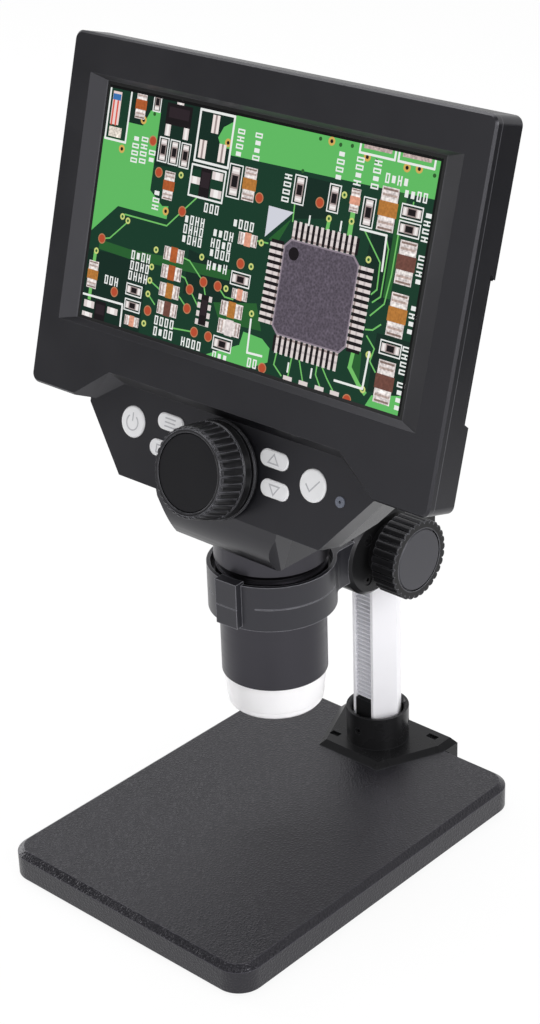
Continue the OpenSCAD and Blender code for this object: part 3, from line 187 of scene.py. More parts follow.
def make_edge_sheen_and_scuffs():
    """A mask that is 1 on sharp outer edges, broken up by noise: edges are painted paler there, partly as
    scuffing and partly as painted highlights.
    """
    tree, given, place = shader_group("edge sheen and scuffs", "Mask", {"Width mm": 0.5, "Breakup mm": 3.0, "Gain": 6.0})
    radius = times(tree, given["Width mm"], MM)
    rounded = add(tree, "Bevel", {"Radius": radius}, samples=6)
    flat = add(tree, "NewGeometry").outputs["True Normal"]
    dot = add(tree, "VectorMath", {0: rounded.outputs[0], 1: flat}, operation="DOT_PRODUCT")
    bend = minus(tree, 1.0, dot.outputs["Value"])
    scale = per_mm(tree, given["Breakup mm"])
    cloud = add(tree, "TexNoise", {"Vector": place, "Scale": scale, "Detail": 4.0})
    patch = times(tree, cloud.outputs["Fac"], bend)
    return give(tree, calc(tree, "MULTIPLY", patch, given["Gain"], clamp=True))


def make_handling():
    """Soft clouds a few centimetres wide, as a mask for gloss and shade."""
    tree, given, place = shader_group("handling", "Mask", {"Cloud size mm": 30.0})
    scale = per_mm(tree, given["Cloud size mm"])
    cloud = add(tree, "TexNoise", {"Vector": place, "Scale": scale, "Detail": 5.0, "Roughness": 0.6})
    return give(tree, cloud.outputs["Fac"])


def make_drawn_lines():
    """Lines left by a tool that ran along Z, or round Z where Around is 1, as a height."""
    tree, given, place = shader_group("drawn lines", "Height", {"Line mm": 0.15, "Around": 0.0})
    split = add(tree, "SeparateXYZ", {0: place}).outputs
    along = minus(tree, 1.0, given["Around"])
    fine = per_mm(tree, given["Line mm"])
    long = times(tree, fine, 0.004)
    across, upright = [plus(tree, times(tree, straight, along), times(tree, turned, given["Around"]))
                       for straight, turned in ((fine, long), (long, fine))]
    pulled = {axis: times(tree, split[axis], stretch)
              for axis, stretch in (("X", across), ("Y", across), ("Z", upright))}
    point = add(tree, "CombineXYZ", pulled).outputs[0]
    noise = add(tree, "TexNoise", {"Vector": point, "Scale": 1.0, "Detail": 3.0})
    return give(tree, noise.outputs["Fac"])


EFFECTS = {
    "moulded grain": make_moulded_grain(),
    "hide grain": make_hide_grain(),
    "edge sheen and scuffs": make_edge_sheen_and_scuffs(),
    "handling": make_handling(),
    "drawn lines": make_drawn_lines(),
}


class Finish:
    """One material, put together from a Principled shader and the shared effects."""

    def __init__(self, name, colour, roughness, **sockets):
        self.material = bpy.data.materials.new(name)
        self.material.use_nodes = True
        self.material.diffuse_color = colour
        self.colour = colour
        self.tree = self.material.node_tree
        self.shader = next(n for n in self.tree.nodes if n.type == "BSDF_PRINCIPLED")
        for label, value in {"Base Color": colour, "Roughness": roughness, **sockets}.items():
            self.shader.inputs[label].default_value = value

    def effect(self, name, sockets=None):
        return add(self.tree, "Group", sockets, node_tree=EFFECTS[name]).outputs[0]

    def tint(self, mask, other, share):
        """Mixes another colour into the base colour where the mask is 1."""
        target = self.shader.inputs["Base Color"]
        before = target.links[0].from_socket if target.links else self.colour
        amount = times(self.tree, mask, share)
        mix = add(self.tree, "Mix", {"A": before, "B": other, "Factor": amount}, data_type="RGBA")
        self.tree.links.new(mix.outputs["Result"], target)

    def gloss(self, mask, low, high):
        """Lets the roughness run from low to high with the mask."""
        self.tree.links.new(ramp(self.tree, mask, 0.3, 0.7, low, high), self.shader.inputs["Roughness"])

    def bump(self, height, depth_mm, strength=1.0):
        target = self.shader.inputs["Normal"]
        sockets = {"Height": height, "Distance": depth_mm * MM, "Strength": strength}
        if target.links:
            sockets["Normal"] = target.links[0].from_socket
        self.tree.links.new(add(self.tree, "Bump", sockets).outputs[0], target)


def handled_plastic(name, colour, roughness, cloud_mm, paler, **sockets):
    """Plastic whose gloss and shade are a little cloudy."""
    made = Finish(name, colour, roughness, **sockets)
    marks = made.effect("handling", {"Cloud size mm": cloud_mm})
    made.gloss(marks, roughness - 0.03, roughness + 0.03)
    made.tint(marks, shaded(colour, paler), 0.6)
    return made


def moulding(name, colour, roughness, depth=0.02, wear=0.35, scuffed_and_lit=None, gain=6.0, **sockets):
    """Moulded plastic: fine texture, cloudy gloss, and edges painted paler, partly as scuffing and partly as
    painted highlights.
    """
    colour = srgb(*colour)
    made = handled_plastic(name, colour, roughness, 30.0, 1.35, **sockets)
    if wear:
        # pale edge colour: partly scuffing, partly a painted highlight along the edges
        scuffed_lit_edge = srgb(*scuffed_and_lit) if scuffed_and_lit else shaded(colour, 2.2)
        made.tint(made.effect("edge sheen and scuffs", {"Gain": gain}), scuffed_lit_edge, wear)
    if depth:
        made.bump(made.effect("moulded grain", {"Cell size mm": 0.45}), depth)
    return made.material


def hide_plastic(name, colour, roughness, cell, depth, **sockets):
    """Moulded plastic with the shallow hide grain of the base's top."""
    colour = srgb(*colour)
    made = handled_plastic(name, colour, roughness, 45.0, 1.25, **sockets)
    # edges painted far paler: a painted highlight along the base's bevels, partly scuffing
    made.tint(made.effect("edge sheen and scuffs", {"Gain": 40.0}), shaded(colour, 8.0), 0.7)
    made.bump(made.effect("hide grain", {"Cell size mm": cell}), depth)
    made.bump(made.effect("moulded grain", {"Cell size mm": 0.35}), 0.012)
    return made.material


def worked_metal(name, colour, roughness, line=0.15, around=0.0, depth=0.006, wear=0.3, metal=1.0):
    """Metal with the lines of its drawing or turning."""
    colour = srgb(*colour)
    made = Finish(name, colour, roughness, Metallic=metal)
    lines = made.effect("drawn lines", {"Line mm": line, "Around": around})
    made.gloss(lines, roughness - 0.06, roughness + 0.08)
    made.tint(made.effect("handling"), shaded(colour, 0.86), 0.5)
    # edges painted paler: partly scuffing, partly a painted highlight
    made.tint(made.effect("edge sheen and scuffs"), shaded(colour, 1.3, most=1.0), wear)
    made.bump(lines, depth)
    return made.material


def milky_plastic(name):
    """Milk-white translucent plastic."""
    made = Finish(name, srgb(255, 253, 255), 0.24, **{
        "Subsurface Weight": 0.35, "Subsurface Radius": (0.004, 0.004, 0.0042), "Subsurface Scale": 1.0})
    made.tint(made.effect("handling", {"Cloud size mm": 12.0}), srgb(250, 248, 252), 0.8)
    made.bump(made.effect("moulded grain", {"Cell size mm": 1.5}), 0.01)
    return made.material


def picture_glass(name):
    """The screen: colours of the shown picture glow behind a slightly matt face."""
    made = Finish(name, (0.002, 0.002, 0.002, 1), 0.3,
                  **{"Specular IOR Level": 0.12, "Emission Strength": 0.92})
    paint = add(made.tree, "VertexColor", layer_name="picture").outputs
    speck = made.effect("moulded grain", {"Cell size mm": 0.9})
    sockets = {"A": paint["Color"], "B": calc(made.tree, "MULTIPLY_ADD", speck, 1.1, 0.55),
               "Factor": minus(made.tree, 1.0, paint["Alpha"])}
    mix = add(made.tree, "Mix", sockets, data_type="RGBA", blend_type="MULTIPLY")
    made.tree.links.new(mix.outputs["Result"], made.shader.inputs["Emission Color"])
    return made.material


def lens_material(name):
    made = Finish(name, (0.95, 0.97, 1.0, 1), 0.02, **{"Transmission Weight": 1.0, "IOR": 1.52})
    made.bump(made.effect("handling"), 0.001, 0.1)
    return made.material


def board_mask(name, colour, other):
    """Circuit board with its copper showing faintly through the coloured mask."""
    made = Finish(name, srgb(*colour), 0.35)
    place = add(made.tree, "TexCoord").outputs["Object"]
    bricks = add(made.tree, "TexBrick", {"Vector": place, "Scale": 260.0, "Mortar Size": 0.03})
    made.tint(bricks.outputs["Fac"], srgb(*other), 0.7)
    made.bump(bricks.outputs["Fac"], 0.03)
    return made.material


COOL = {"Specular Tint": (0.93, 0.92, 1.0, 1.0)}
SIDE = {"Specular IOR Level": 0.4, **COOL}
DULL = {"Specular IOR Level": 0.2, "Specular Tint": (0.96, 0.95, 1.0, 1.0)}

PLAIN = {"depth": 0.0, "wear": 0.0}

# the pale edge colours given here stand partly for scuffing and partly for painted highlights along the edges
MATERIALS = {
    "frame": moulding("frame plastic", (20, 20, 23), 0.32, depth=0.006, wear=0.7, scuffed_and_lit=(62, 62, 66),
                      gain=8.0, **COOL),
    # pale line: a painted highlight of the frame's parting line
    "seam_highlight": moulding("parting edge painted highlight", (66, 66, 70), 0.35, **PLAIN),
    "back": moulding("back plastic", (18, 18, 21), 0.24, depth=0.006, wear=0.6, gain=12.0, **SIDE),
    "stand": moulding("stand plastic", (25, 25, 26), 0.28, depth=0.004, scuffed_and_lit=(70, 70, 74), gain=14.0, **DULL),
    "ring": moulding("ring plastic", (32, 32, 36), 0.34, depth=0.008, wear=0.9, scuffed_and_lit=(140, 140, 146),
                     gain=12.0, **COOL),
    "knob": moulding("knob plastic", (19, 19, 20), 0.3, depth=0.004, wear=0.9, scuffed_and_lit=(128, 128, 134),
                     gain=9.0, **DULL),
    # the height knob's disc: the knob's dark plastic painted lighter, as painted light on a face turned to
    # the right-hand lamp
    "painted_lit_knob_face": moulding("knob face plastic painted lighter", (49, 49, 53), 0.42, depth=0.006, **COOL),
    "focus_face": moulding("focus face plastic", (20, 20, 22), 0.36, depth=0.006, **DULL),
    "base": hide_plastic("base plastic", (19, 18, 22), 0.33, 1.3, 0.075, **COOL),
    "cover": moulding("cover plastic", (40, 40, 42), 0.55, **{"Specular IOR Level": 0.3}),
    "rubber": moulding("foot rubber", (24, 24, 24), 0.75, depth=0.03, wear=0.0),
    "key": moulding("key paint", (220, 220, 222), 0.38, depth=0.004, wear=0.15, scuffed_and_lit=(235, 235, 236)),
    "mark": moulding("key mark", (172, 172, 176), 0.5, **PLAIN),
    "indicator": moulding("indicator lens", (96, 100, 112), 0.25, **PLAIN),
    "black_steel": moulding("blackened steel", (26, 26, 27), 0.35, depth=0.0, **DULL),
    "nylon": moulding("bearing plastic", (196, 193, 186), 0.5, depth=0.01),
    "rack": moulding("rack plastic", (216, 216, 221), 0.42, depth=0.01, scuffed_and_lit=(235, 235, 238)),
    "chip": moulding("chip plastic", (30, 30, 32), 0.6),
    "foil": moulding("battery foil", (170, 172, 176), 0.3, Metallic=0.6),
    "cable": moulding("cable film", (190, 120, 40), 0.35, depth=0.0),
    "lamp": moulding("lamp lens", (240, 232, 190), 0.25, **PLAIN),
    "pole": worked_metal("pole aluminium", (252, 251, 255), 0.5, line=0.12, depth=0.004, metal=0.2),
    "steel": worked_metal("screw steel", (185, 186, 190), 0.3, around=1.0),
    "sheet": worked_metal("sheet steel", (190, 191, 195), 0.35, line=0.3),
    "brass": worked_metal("gear brass", (206, 170, 100), 0.3, around=1.0),
    "barrel": worked_metal("barrel aluminium", (70, 69, 74), 0.36, line=0.1, around=1.0, depth=0.002,
                           wear=0.15),
    "milky": milky_plastic("milky plastic"),
    "picture": picture_glass("picture glass"),
    "panel": moulding("panel glass", (8, 8, 9), 0.3, **PLAIN),
    "lens": lens_material("lens glass"),
    "board": board_mask("board mask", (16, 78, 44), (40, 120, 66)),
    "white_board": board_mask("white board mask", (226, 226, 222), (205, 205, 200)),
}

NODE_FINISH = {
    "base": "base_shell",
    "cover": "base_cover",
    "rubber": "rubber_feet",
    "steel": "base_screws foot_screws pole_screw ring_screws brake_spring brake_screw shaft_clip "
             "shell_screws focus_shaft",
    "black_steel": "set_screws cover_screws",
    "sheet": "base_weight lcd_backlight usb_port card_slot",
    "stand": "pole_foot slot_key carriage_housing side_cover pole_cap",
    "ring": "ring_holder",
    "pole": "pole",
    "rack": "gear_rack",
    "nylon": "brake_pad lens_carrier",
    "brass": "pinion_shaft focus_bush",
    "knob": "height_knob focus_knob lens_ring",
    "painted_lit_knob_face": "knob_cap",
    "focus_face": "focus_cap",
    "frame": "front_shell",
    "back": "rear_shell",
    "panel": "lcd_panel",
    "board": "main_board button_board sensor_board",
    "chip": "board_parts key_switches",
    "foil": "battery",
    "cable": "ribbon_cable",
    "key": "power_button menu_button camera_button up_button down_button ok_button",
    "indicator": "indicator_lens",
    "barrel": "lens_barrel",
    "milky": "light_cap",
    "white_board": "led_board",
    "lamp": "white_leds",
    "lens": "lens_glass",
}
FINISH = {node: finish for finish, nodes in NODE_FINISH.items() for node in nodes.split()}
BODY = {n: b for b, nodes in frame["record"]["behaviour"]["bodies"].items() for n in nodes}


# ---- mesh helpers ----

def new_object(name, data):
    obj = bpy.data.objects.new(name, data)
    bpy.context.scene.collection.objects.link(obj)
    return obj


def worked_out(obj):
    """The mesh that an object's modifiers give."""
    graph = bpy.context.evaluated_depsgraph_get()
    return bpy.data.meshes.new_from_object(obj.evaluated_get(graph))


def modify(obj, kind, **settings):
    modifier = obj.modifiers.new(kind.lower(), kind)
    for label, value in settings.items():
        setattr(modifier, label, value)
    return modifier


def new_piece(name, mesh, material, body):
    obj = new_object(name, mesh)
    mesh.materials.clear()
    mesh.materials.append(MATERIALS[material])
    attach(obj, body)
    return obj


def mesh_from(bm, name, place=None, smooth_deg=None):
    """Turns a bmesh into a mesh in the row frame, with its faces pointing out."""
    if place is not None:
        bm.transform(place)
    bmesh.ops.recalc_face_normals(bm, faces=bm.faces)
    mesh = bpy.data.meshes.new(name)
    bm.to_mesh(mesh)
    bm.free()
    if smooth_deg is not None:
        smooth(mesh, smooth_deg)
    return mesh


def smooth(mesh, degrees):
    mesh.shade_smooth()
    mesh.set_sharp_from_angle(angle=math.radians(degrees))


def level_wide_faces(mesh, width_mm=2.5):
    """Gives every wide flat face its own plain shading, also beside a shallow edge."""
    normals = [corner.vector.copy() for corner in mesh.corner_normals]
    for face in mesh.polygons:
        longest = max((mesh.vertices[a].co - mesh.vertices[b].co).length for a, b in face.edge_keys)
        if face.area > width_mm * MM * longest:
            for corner in face.loop_indices:
                normals[corner] = face.normal.copy()
    mesh.normals_split_custom_set(normals)


def lathe(bm, profile, steps=96):
    """Adds the solid that a closed (radius, height) outline sweeps round Z."""
    rings = []
    for i in range(steps):
        a = 2 * math.pi * i / steps
        rings.append([bm.verts.new((r * math.cos(a), r * math.sin(a), z)) if r > 0 else None
                      for r, z in profile])
    poles = {k: bm.verts.new((0, 0, z)) for k, (r, z) in enumerate(profile) if r <= 0}
    for i in range(steps):
        here, there = rings[i], rings[(i + 1) % steps]
        for k in range(len(profile)):
            n = (k + 1) % len(profile)
            corners = []
            for ring, j in ((here, k), (there, k), (there, n), (here, n)):
                v = ring[j] or poles[j]
                if v not in corners:
                    corners.append(v)
            if len(corners) > 2:
                bm.faces.new(corners)


def softened(node, name, width_mm, angle=28):
    """Stands a copy with rounded edges in for a CAD node."""
    bm = bmesh.new()
    bm.from_mesh(frame["nodes"][node].data)
    bmesh.ops.remove_doubles(bm, verts=bm.verts, dist=2e-6)
    bmesh.ops.dissolve_limit(bm, angle_limit=math.radians(0.4), verts=bm.verts, edges=bm.edges,
                             delimit={"NORMAL"})
    mesh = bpy.data.meshes.new(name)
    bm.to_mesh(mesh)
    bm.free()
    temp = new_object(name + "_raw", mesh)
    modify(temp, "BEVEL", width=width_mm * MM, segments=2, limit_method="ANGLE", use_clamp_overlap=True,
           angle_limit=math.radians(angle), miter_outer="MITER_SHARP")
    rounded = worked_out(temp)
    smooth(rounded, 35)
    temp.modifiers.clear()
    temp.data = rounded
    modify(temp, "WEIGHTED_NORMAL", keep_sharp=True)
    done = worked_out(temp)
    bpy.data.objects.remove(temp)
    if node in ("front_shell", "rear_shell"):
        level_wide_faces(done)
    piece = new_piece(name, done, FINISH[node], BODY[node])
    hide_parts(node)


def dress_nodes():
    """Gives every CAD node its finish."""
    for node, obj in frame["nodes"].items():
        obj.data.materials.clear()
        obj.data.materials.append(MATERIALS[FINISH[node]])


# ---- ribbed knobs ----

def rib_tree():
    """Geometry nodes: a round skin whose side is rolled into ribs, open at both ends."""
    tree = bpy.data.node_groups.new("ribbed skin", "GeometryNodeTree")
    tree.interface.new_socket(name="Geometry", in_out="OUTPUT", socket_type="NodeSocketGeometry")
    for label, kind in (("Ribs", "Int"), ("Radius", "Float"), ("Valley", "Float"), ("Flatness", "Float"),
                        ("Length", "Float"), ("Chamfer", "Float"), ("Rim", "Float"), ("Taper", "Float"),
                        ("Material", "Material")):
        tree.interface.new_socket(name=label, in_out="INPUT", socket_type="NodeSocket" + kind)
    given = add(tree, "NodeGroupInput").outputs

    # the sheet's X runs once round, and its six rows of Y are rim, edge, side, side, edge and rim
    columns = calc(tree, "MULTIPLY_ADD", given["Ribs"], 10.0, 1.0)
    grid = add(tree, "GeometryNodeMeshGrid",
               {"Size X": 1.0, "Size Y": 1.0, "Vertices X": columns, "Vertices Y": 6})
    place = add(tree, "GeometryNodeInputPosition").outputs[0]
    split = add(tree, "SeparateXYZ", {0: place}).outputs
    row = split["Y"]
    end = calc(tree, "ABSOLUTE", row)
    turn = times(tree, split["X"], 2 * math.pi)
    wave = times(tree, times(tree, turn, given["Ribs"]), 0.5)
    crest = calc(tree, "POWER", calc(tree, "ABSOLUTE", calc(tree, "SINE", wave)), given["Flatness"])
    hollow = times(tree, minus(tree, 1.0, crest), given["Valley"])
    radius = minus(tree, given["Radius"], hollow)
    radius = minus(tree, radius, ramp(tree, row, -0.1, 0.1, end=given["Taper"]))
    radius = minus(tree, radius, ramp(tree, end, 0.1, 0.3, end=given["Chamfer"]))
    drop = times(tree, minus(tree, given["Rim"], radius), ramp(tree, end, 0.3, 0.5))
    radius = plus(tree, radius, drop)
    straight = minus(tree, given["Length"], times(tree, given["Chamfer"], 2.0))
    edges = plus(tree, ramp(tree, row, -0.3, -0.1, end=given["Chamfer"]),
                 ramp(tree, row, 0.1, 0.3, end=given["Chamfer"]))
    rise = plus(tree, edges, ramp(tree, row, -0.1, 0.1, end=straight))
    rolled = add(tree, "CombineXYZ", {"X": times(tree, radius, calc(tree, "COSINE", turn)),
                                      "Y": times(tree, radius, calc(tree, "SINE", turn)), "Z": rise})
    move = add(tree, "GeometryNodeSetPosition",
               {"Geometry": grid.outputs["Mesh"], "Position": rolled.outputs[0]})
    weld = add(tree, "GeometryNodeMergeByDistance", {"Geometry": move.outputs[0], "Distance": 1e-7})
    real = add(tree, "GeometryNodeRealizeInstances", {0: weld.outputs[0]})
    paint = add(tree, "GeometryNodeSetMaterial", {"Geometry": real.outputs[0], "Material": given["Material"]})
    return give(tree, paint.outputs[0])


def run_tree(tree, name, **values):
    """Runs a geometry node tree with these inputs and gives its mesh."""
    temp = new_object(name, bpy.data.meshes.new(name))
    modifier = modify(temp, "NODES", node_group=tree)
    for item in tree.interface.items_tree:
        if item.in_out == "INPUT" and item.name in values:
            modifier[item.identifier] = values[item.name]
    mesh = worked_out(temp)
    bpy.data.objects.remove(temp)
    return mesh


RIBS = rib_tree()


def knob_mesh(name, turned, sides, place):
    """Turned rings, as (radius, height) outlines in mm, and ribbed sides, in one mesh."""
    bm = bmesh.new()
    for outline in turned:
        lathe(bm, outline)
    for base, values in sides:
        skin = run_tree(RIBS, name, Material=MATERIALS["knob"], **values)
        skin.transform(Matrix.Translation((0, 0, base)))
        bm.from_mesh(skin)
        bpy.data.meshes.remove(skin)
    bmesh.ops.remove_doubles(bm, verts=bm.verts, dist=1e-4)
    return mesh_from(bm, name, place, 34)


def make_height_knob():
    """The knob on the right that raises the carriage: deep square ribs and a sunk disc."""
    length = KNOB_X1 - KNOB_X0
    side = (0.7, {"Ribs": 30, "Radius": KNOB_R, "Valley": 1.25, "Flatness": 0.4, "Length": length - 0.7,
                  "Chamfer": 0.25, "Rim": KNOB_R - 3.2})
    back = [(3.2, 0), (KNOB_R - 1.6, 0), (KNOB_R - 1.4, 0.2), (KNOB_R - 1.4, 0.72), (3.2, 0.72)]
    lip = [(KNOB_R - 3.2, length), (KNOB_R - 3.2, length - 1.1), (3.2, length - 1.1), (3.2, length - 2.4),
           (KNOB_R - 3.4, length - 2.4), (KNOB_R - 3.4, length)]
    place = KNOB_MM @ Matrix.Translation((0, 0, KNOB_X0))
    knob = knob_mesh("height_knob_grip", [back, lip], [side], place)
    piece = new_piece("height_knob_grip", knob, "knob", "height_drive")
    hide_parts("height_knob")
    radius = KNOB_R - 3.75
    disc = [(0, length - 1.05), (radius, length - 1.05), (radius, length - 0.35), (radius - 0.35, length),
            (0, length)]
    # the disc is painted lighter than the ribs, as painted light on its right-facing face
    cap = knob_mesh("height_knob_disc", [disc], [], place)
    piece = new_piece("height_knob_disc", cap, "painted_lit_knob_face", "height_drive")
    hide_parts("knob_cap")


def make_focus_knob():
    """The big knob under the screen: skirt, flange, fine tapering ribs and a sunk disc."""
    skirt = [(4, -3.7), (17.6, -3.7), (18.5, -2.3), (18.5, -1.7), (18.1, -1.3), (16.6, -1.3), (16.6, -0.35),
             (17.6, -0.4), (18, 0), (18, 3.2), (17.7, 3.6), (4, 3.6)]
    brow = [(15.2, 13.3), (15.75, 13.5), (15.5, 13.9), (14.6, 13.9), (14.35, 13.75), (14.3, 12.7), (4, 12.7),
            (4, 10.0), (15.2, 10.0)]
    side = (FOCUS_RIBS_D, {"Ribs": 36, "Radius": FOCUS_REAR_R, "Valley": 0.85, "Flatness": 0.6,
                           "Length": FOCUS_RIBS_L, "Chamfer": 0.35, "Rim": 15.3,
                           "Taper": FOCUS_REAR_R - FOCUS_R})
    place = HEAD_MM @ Matrix.Translation((0, FOCUS_U, 0))
    knob = knob_mesh("focus_knob_grip", [skirt, brow], [side], place)
    piece = new_piece("focus_knob_grip", knob, "knob", "focus_drive")
    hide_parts("focus_knob")
    disc = [(0, 12.75), (14.2, 12.75), (14.2, 13.3), (13.9, 13.55), (11, 13.52), (0, 13.48)]
    cap = knob_mesh("focus_knob_disc", [disc], [], place)
    piece = new_piece("focus_knob_disc", cap, "focus_face", "focus_drive")
    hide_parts("focus_cap")


# ---- marks on the buttons ----

def bar(bm, rings, closed=False):
    """Adds the solid that runs through these rings of points, and back to its start if closed."""
    rings = [[bm.verts.new(point) for point in ring] for ring in rings]
    for here, there in zip(rings, rings[1:] + rings[:closed]):
        for k in range(len(here)):
            n = (k + 1) % len(here)
            bm.faces.new((here[k], there[k], there[n], here[n]))
    if not closed:
        bm.faces.new(rings[0])
        bm.faces.new(rings[-1][::-1])


def stroke(bm, points, width, low, high, closed):
    """Adds a flat bar of this width along the points, from height low to high."""
    count = len(points)
    left, right = [], []
    for i, p in enumerate(points):
        before = points[i - 1] if closed or i else p
        after = points[(i + 1) % count] if closed or i < count - 1 else p
        a = Vector((p[0] - before[0], p[1] - before[1]))
        b = Vector((after[0] - p[0], after[1] - p[1]))
        a = a.normalized() if a.length else b.normalized()
        b = b.normalized() if b.length else a
        normal = Vector((-(a.y + b.y), a.x + b.x)).normalized()
        reach = width / 2 / max(0.4, normal.dot(Vector((-a.y, a.x))))
        left.append((p[0] + normal.x * reach, p[1] + normal.y * reach))
        right.append((p[0] - normal.x * reach, p[1] - normal.y * reach))
    rings = [((*a, low), (*b, low), (*b, high), (*a, high)) for a, b in zip(left, right)]
    bar(bm, rings, closed)


def arc(x, y, radius, start, end, steps):
    turns = [math.radians(start + (end - start) * i / steps) for i in range(steps + 1)]
    return [(x + radius * math.cos(a), y + radius * math.sin(a)) for a in turns]


KEYS = {
    "power_button": (-44.3, -77, [(arc(0, -0.2, 2.9, 125, 415, 28), False), ([(0, 0.4), (0, 3.6)], False)]),
    "menu_button": (-25.5, -72.7, [([(-2.6, y), (2.6, y)], False) for y in (-1.5, 0, 1.5)]),
    "camera_button": (-27.7, -83.2, [([(-2.8, -1.6), (2.8, -1.6), (2.8, 1.2), (-2.8, 1.2)], True),
                                     (arc(0, -0.2, 0.9, 0, 342, 18), True)]),
    "up_button": (25.5, -72.7, [([(-2.3, -1.5), (2.3, -1.5), (0, 1.9)], True)]),
    "down_button": (27.7, -83.2, [([(-2.3, 1.5), (0, -1.9), (2.3, 1.5)], True)]),
    "ok_button": (44.3, -77, [([(-2.9, 0.1), (-0.8, -2.2), (3.1, 2.4)], False)]),
}


def make_keys():
    """Six silver buttons with their raised marks."""
    for node, (x, u, marks) in KEYS.items():
        softened(node, node + "_cap", 0.18, angle=25)
        bm = bmesh.new()
        for points, closed in marks:
            stroke(bm, points, 0.5, KEY_FACE - 0.05, KEY_FACE + 0.07, closed)
        place = HEAD_MM @ Matrix.Translation((x + KEY_SHIFT, u, 0))
        mark = mesh_from(bm, node + "_mark", place, 30)
        new_piece(node + "_mark", mark, "mark", BODY[node])


# ---- the picture on the screen ----

def spin(x, y, a, b, turn):
    """The point a across and b up from (x, y), both turned by these degrees."""
    c, s = math.cos(math.radians(turn)), math.sin(math.radians(turn))
    return x + a * c - b * s, y + a * s + b * c


class Picture:
    """Flat coloured shapes, in mm across and up the screen, laid one on another."""

    def __init__(self):
        self.bm = bmesh.new()
        self.paint = self.bm.loops.layers.float_color.new("picture")
        self.laid = []

    def shape(self, points, colour, grain=0.0):
        """Adds one patch of colour, cut off at the picture's edge."""
        for axis, limit in ((0, SCREEN_W / 2), (0, -SCREEN_W / 2), (1, SCREEN_H / 2), (1, -SCREEN_H / 2)):
            kept = []
            for i, b in enumerate(points):
                a = points[i - 1]
                a_in = (limit - a[axis]) * limit >= 0
                b_in = (limit - b[axis]) * limit >= 0
                if a_in != b_in:
                    t = (limit - a[axis]) / (b[axis] - a[axis])
                    kept.append((a[0] + (b[0] - a[0]) * t, a[1] + (b[1] - a[1]) * t))
                if b_in:
                    kept.append(b)
            points = kept
            if len(points) < 3:
                return
        area = sum(points[i - 1][0] * p[1] - p[0] * points[i - 1][1] for i, p in enumerate(points))
        if area < 0:
            points = points[::-1]
        left, right = min(x for x, y in points), max(x for x, y in points)
        low, high = min(y for x, y in points), max(y for x, y in points)
        under = [layer for a, b, c, d, layer in self.laid if a < right and b > left and c < high and d > low]
        layer = 1 + max(under, default=0)
        self.laid.append((left, right, low, high, layer))
        height = PANEL_GLASS + LAYER * layer
        face = self.bm.faces.new([self.bm.verts.new((x, y, height)) for x, y in points])
        tone = srgb(*colour)[:3] + (1.0 - grain,)
        for loop in face.loops:
            loop[self.paint] = tone

    def box(self, x, y, w, h, colour, turn=0.0, grain=0.0):
        corners = ((-w / 2, -h / 2), (w / 2, -h / 2), (w / 2, h / 2), (-w / 2, h / 2))
        self.shape([spin(x, y, a, b, turn) for a, b in corners], colour, grain)

    def disc(self, x, y, radius, colour):
        turns = [2 * math.pi * i / 20 for i in range(20)]
        self.shape([(x + radius * math.cos(a), y + radius * math.sin(a)) for a in turns], colour)

    def line(self, points, width, colour):
        for (xa, ya), (xb, yb) in zip(points, points[1:]):
            length = math.hypot(xb - xa, yb - ya)
            turn = math.degrees(math.atan2(yb - ya, xb - xa))
            self.box((xa + xb) / 2, (ya + yb) / 2, length + width * 0.7, width, colour, turn)

    def frame(self, x, y, w, h, width, colour):
        a, b = w / 2, h / 2
        self.line([(x - a, y - b), (x + a, y - b), (x + a, y + b), (x - a, y + b), (x - a, y - b)],
                  width, colour)

    def via(self, x, y, radius, ring, hole):
        self.disc(x, y, radius, ring)
        self.disc(x, y, radius * 0.45, hole)


GROUND = (17, 58, 40)
DEEP = (12, 42, 32)
MOSS = (38, 96, 46)
POUR = (98, 190, 100)
SILK = (240, 242, 240)
TIN, TIN_SHADE, TIN_GLINT = (226, 216, 214), (160, 144, 142), (250, 246, 244)
SOOT = (22, 16, 20)
TRACE = (116, 196, 104)
COPPER, COPPER_EDGE = (186, 78, 48), (190, 128, 92)
LIME = (206, 216, 128)
# near black of the painted shadow along the picture's top and right edges, under the window's lip
LIP_SHADOW = (8, 8, 9)
TAN, BROWN, ORANGE, PEACH = (184, 122, 56), (112, 72, 62), (178, 92, 46), (226, 160, 134)

# outlines of the areas of each shade
DEEP_AREAS = (
    [(-66, 43), (-66, 30), (-50, 30), (-50, 18), (-14, 22), (-14, 43)],
    [(-77, -18), (-46, -16), (-46, -43), (-77, -43)], [(16, 27), (34, 27), (34, 15), (19, 12)],
    [(53, 14), (64, 14), (64, -8), (52, -8)], [(62, -18), (77, -18), (77, -38), (62, -38)],
    [(-27, -8), (2, -12), (2, -24), (-27, -24)]
)
MOSS_AREAS = (
    [(-72, -13.5), (-56, -14), (-6, -11), (-6, -15), (-56, -17.5), (-72, -17)], [(9, 3), (18, 12), (13, 2)],
    [(53, -26), (57, -26), (58, -37), (53, -33)], [(-12, -24), (8, -20), (12, -29), (-8, -30)],
    [(62, 30), (65, 30), (65, -6), (62, -6)]
)
POUR_AREAS = (
    [(-77, 43), (-77, 24), (-66, 24), (-66, 31), (-58, 31), (-55, 37), (-50, 37), (-50, 9),
     (-43, 4.5), (-40, 5), (-40, 0.3), (-65, 0.3), (-77, -11)],
    [(-14, 43), (-14, 28), (77, 29.5), (77, 43)],
    [(-42, -43), (-12, -43), (3, -36), (4, -31), (13, -31.5), (17, -34), (17, -39), (9, -43)],
    [(-19, 37), (-14, 40), (-14, 30), (-19, 30), (-21, 33)], [(64, -39), (77, -36), (77, -43), (62, -43)]
)
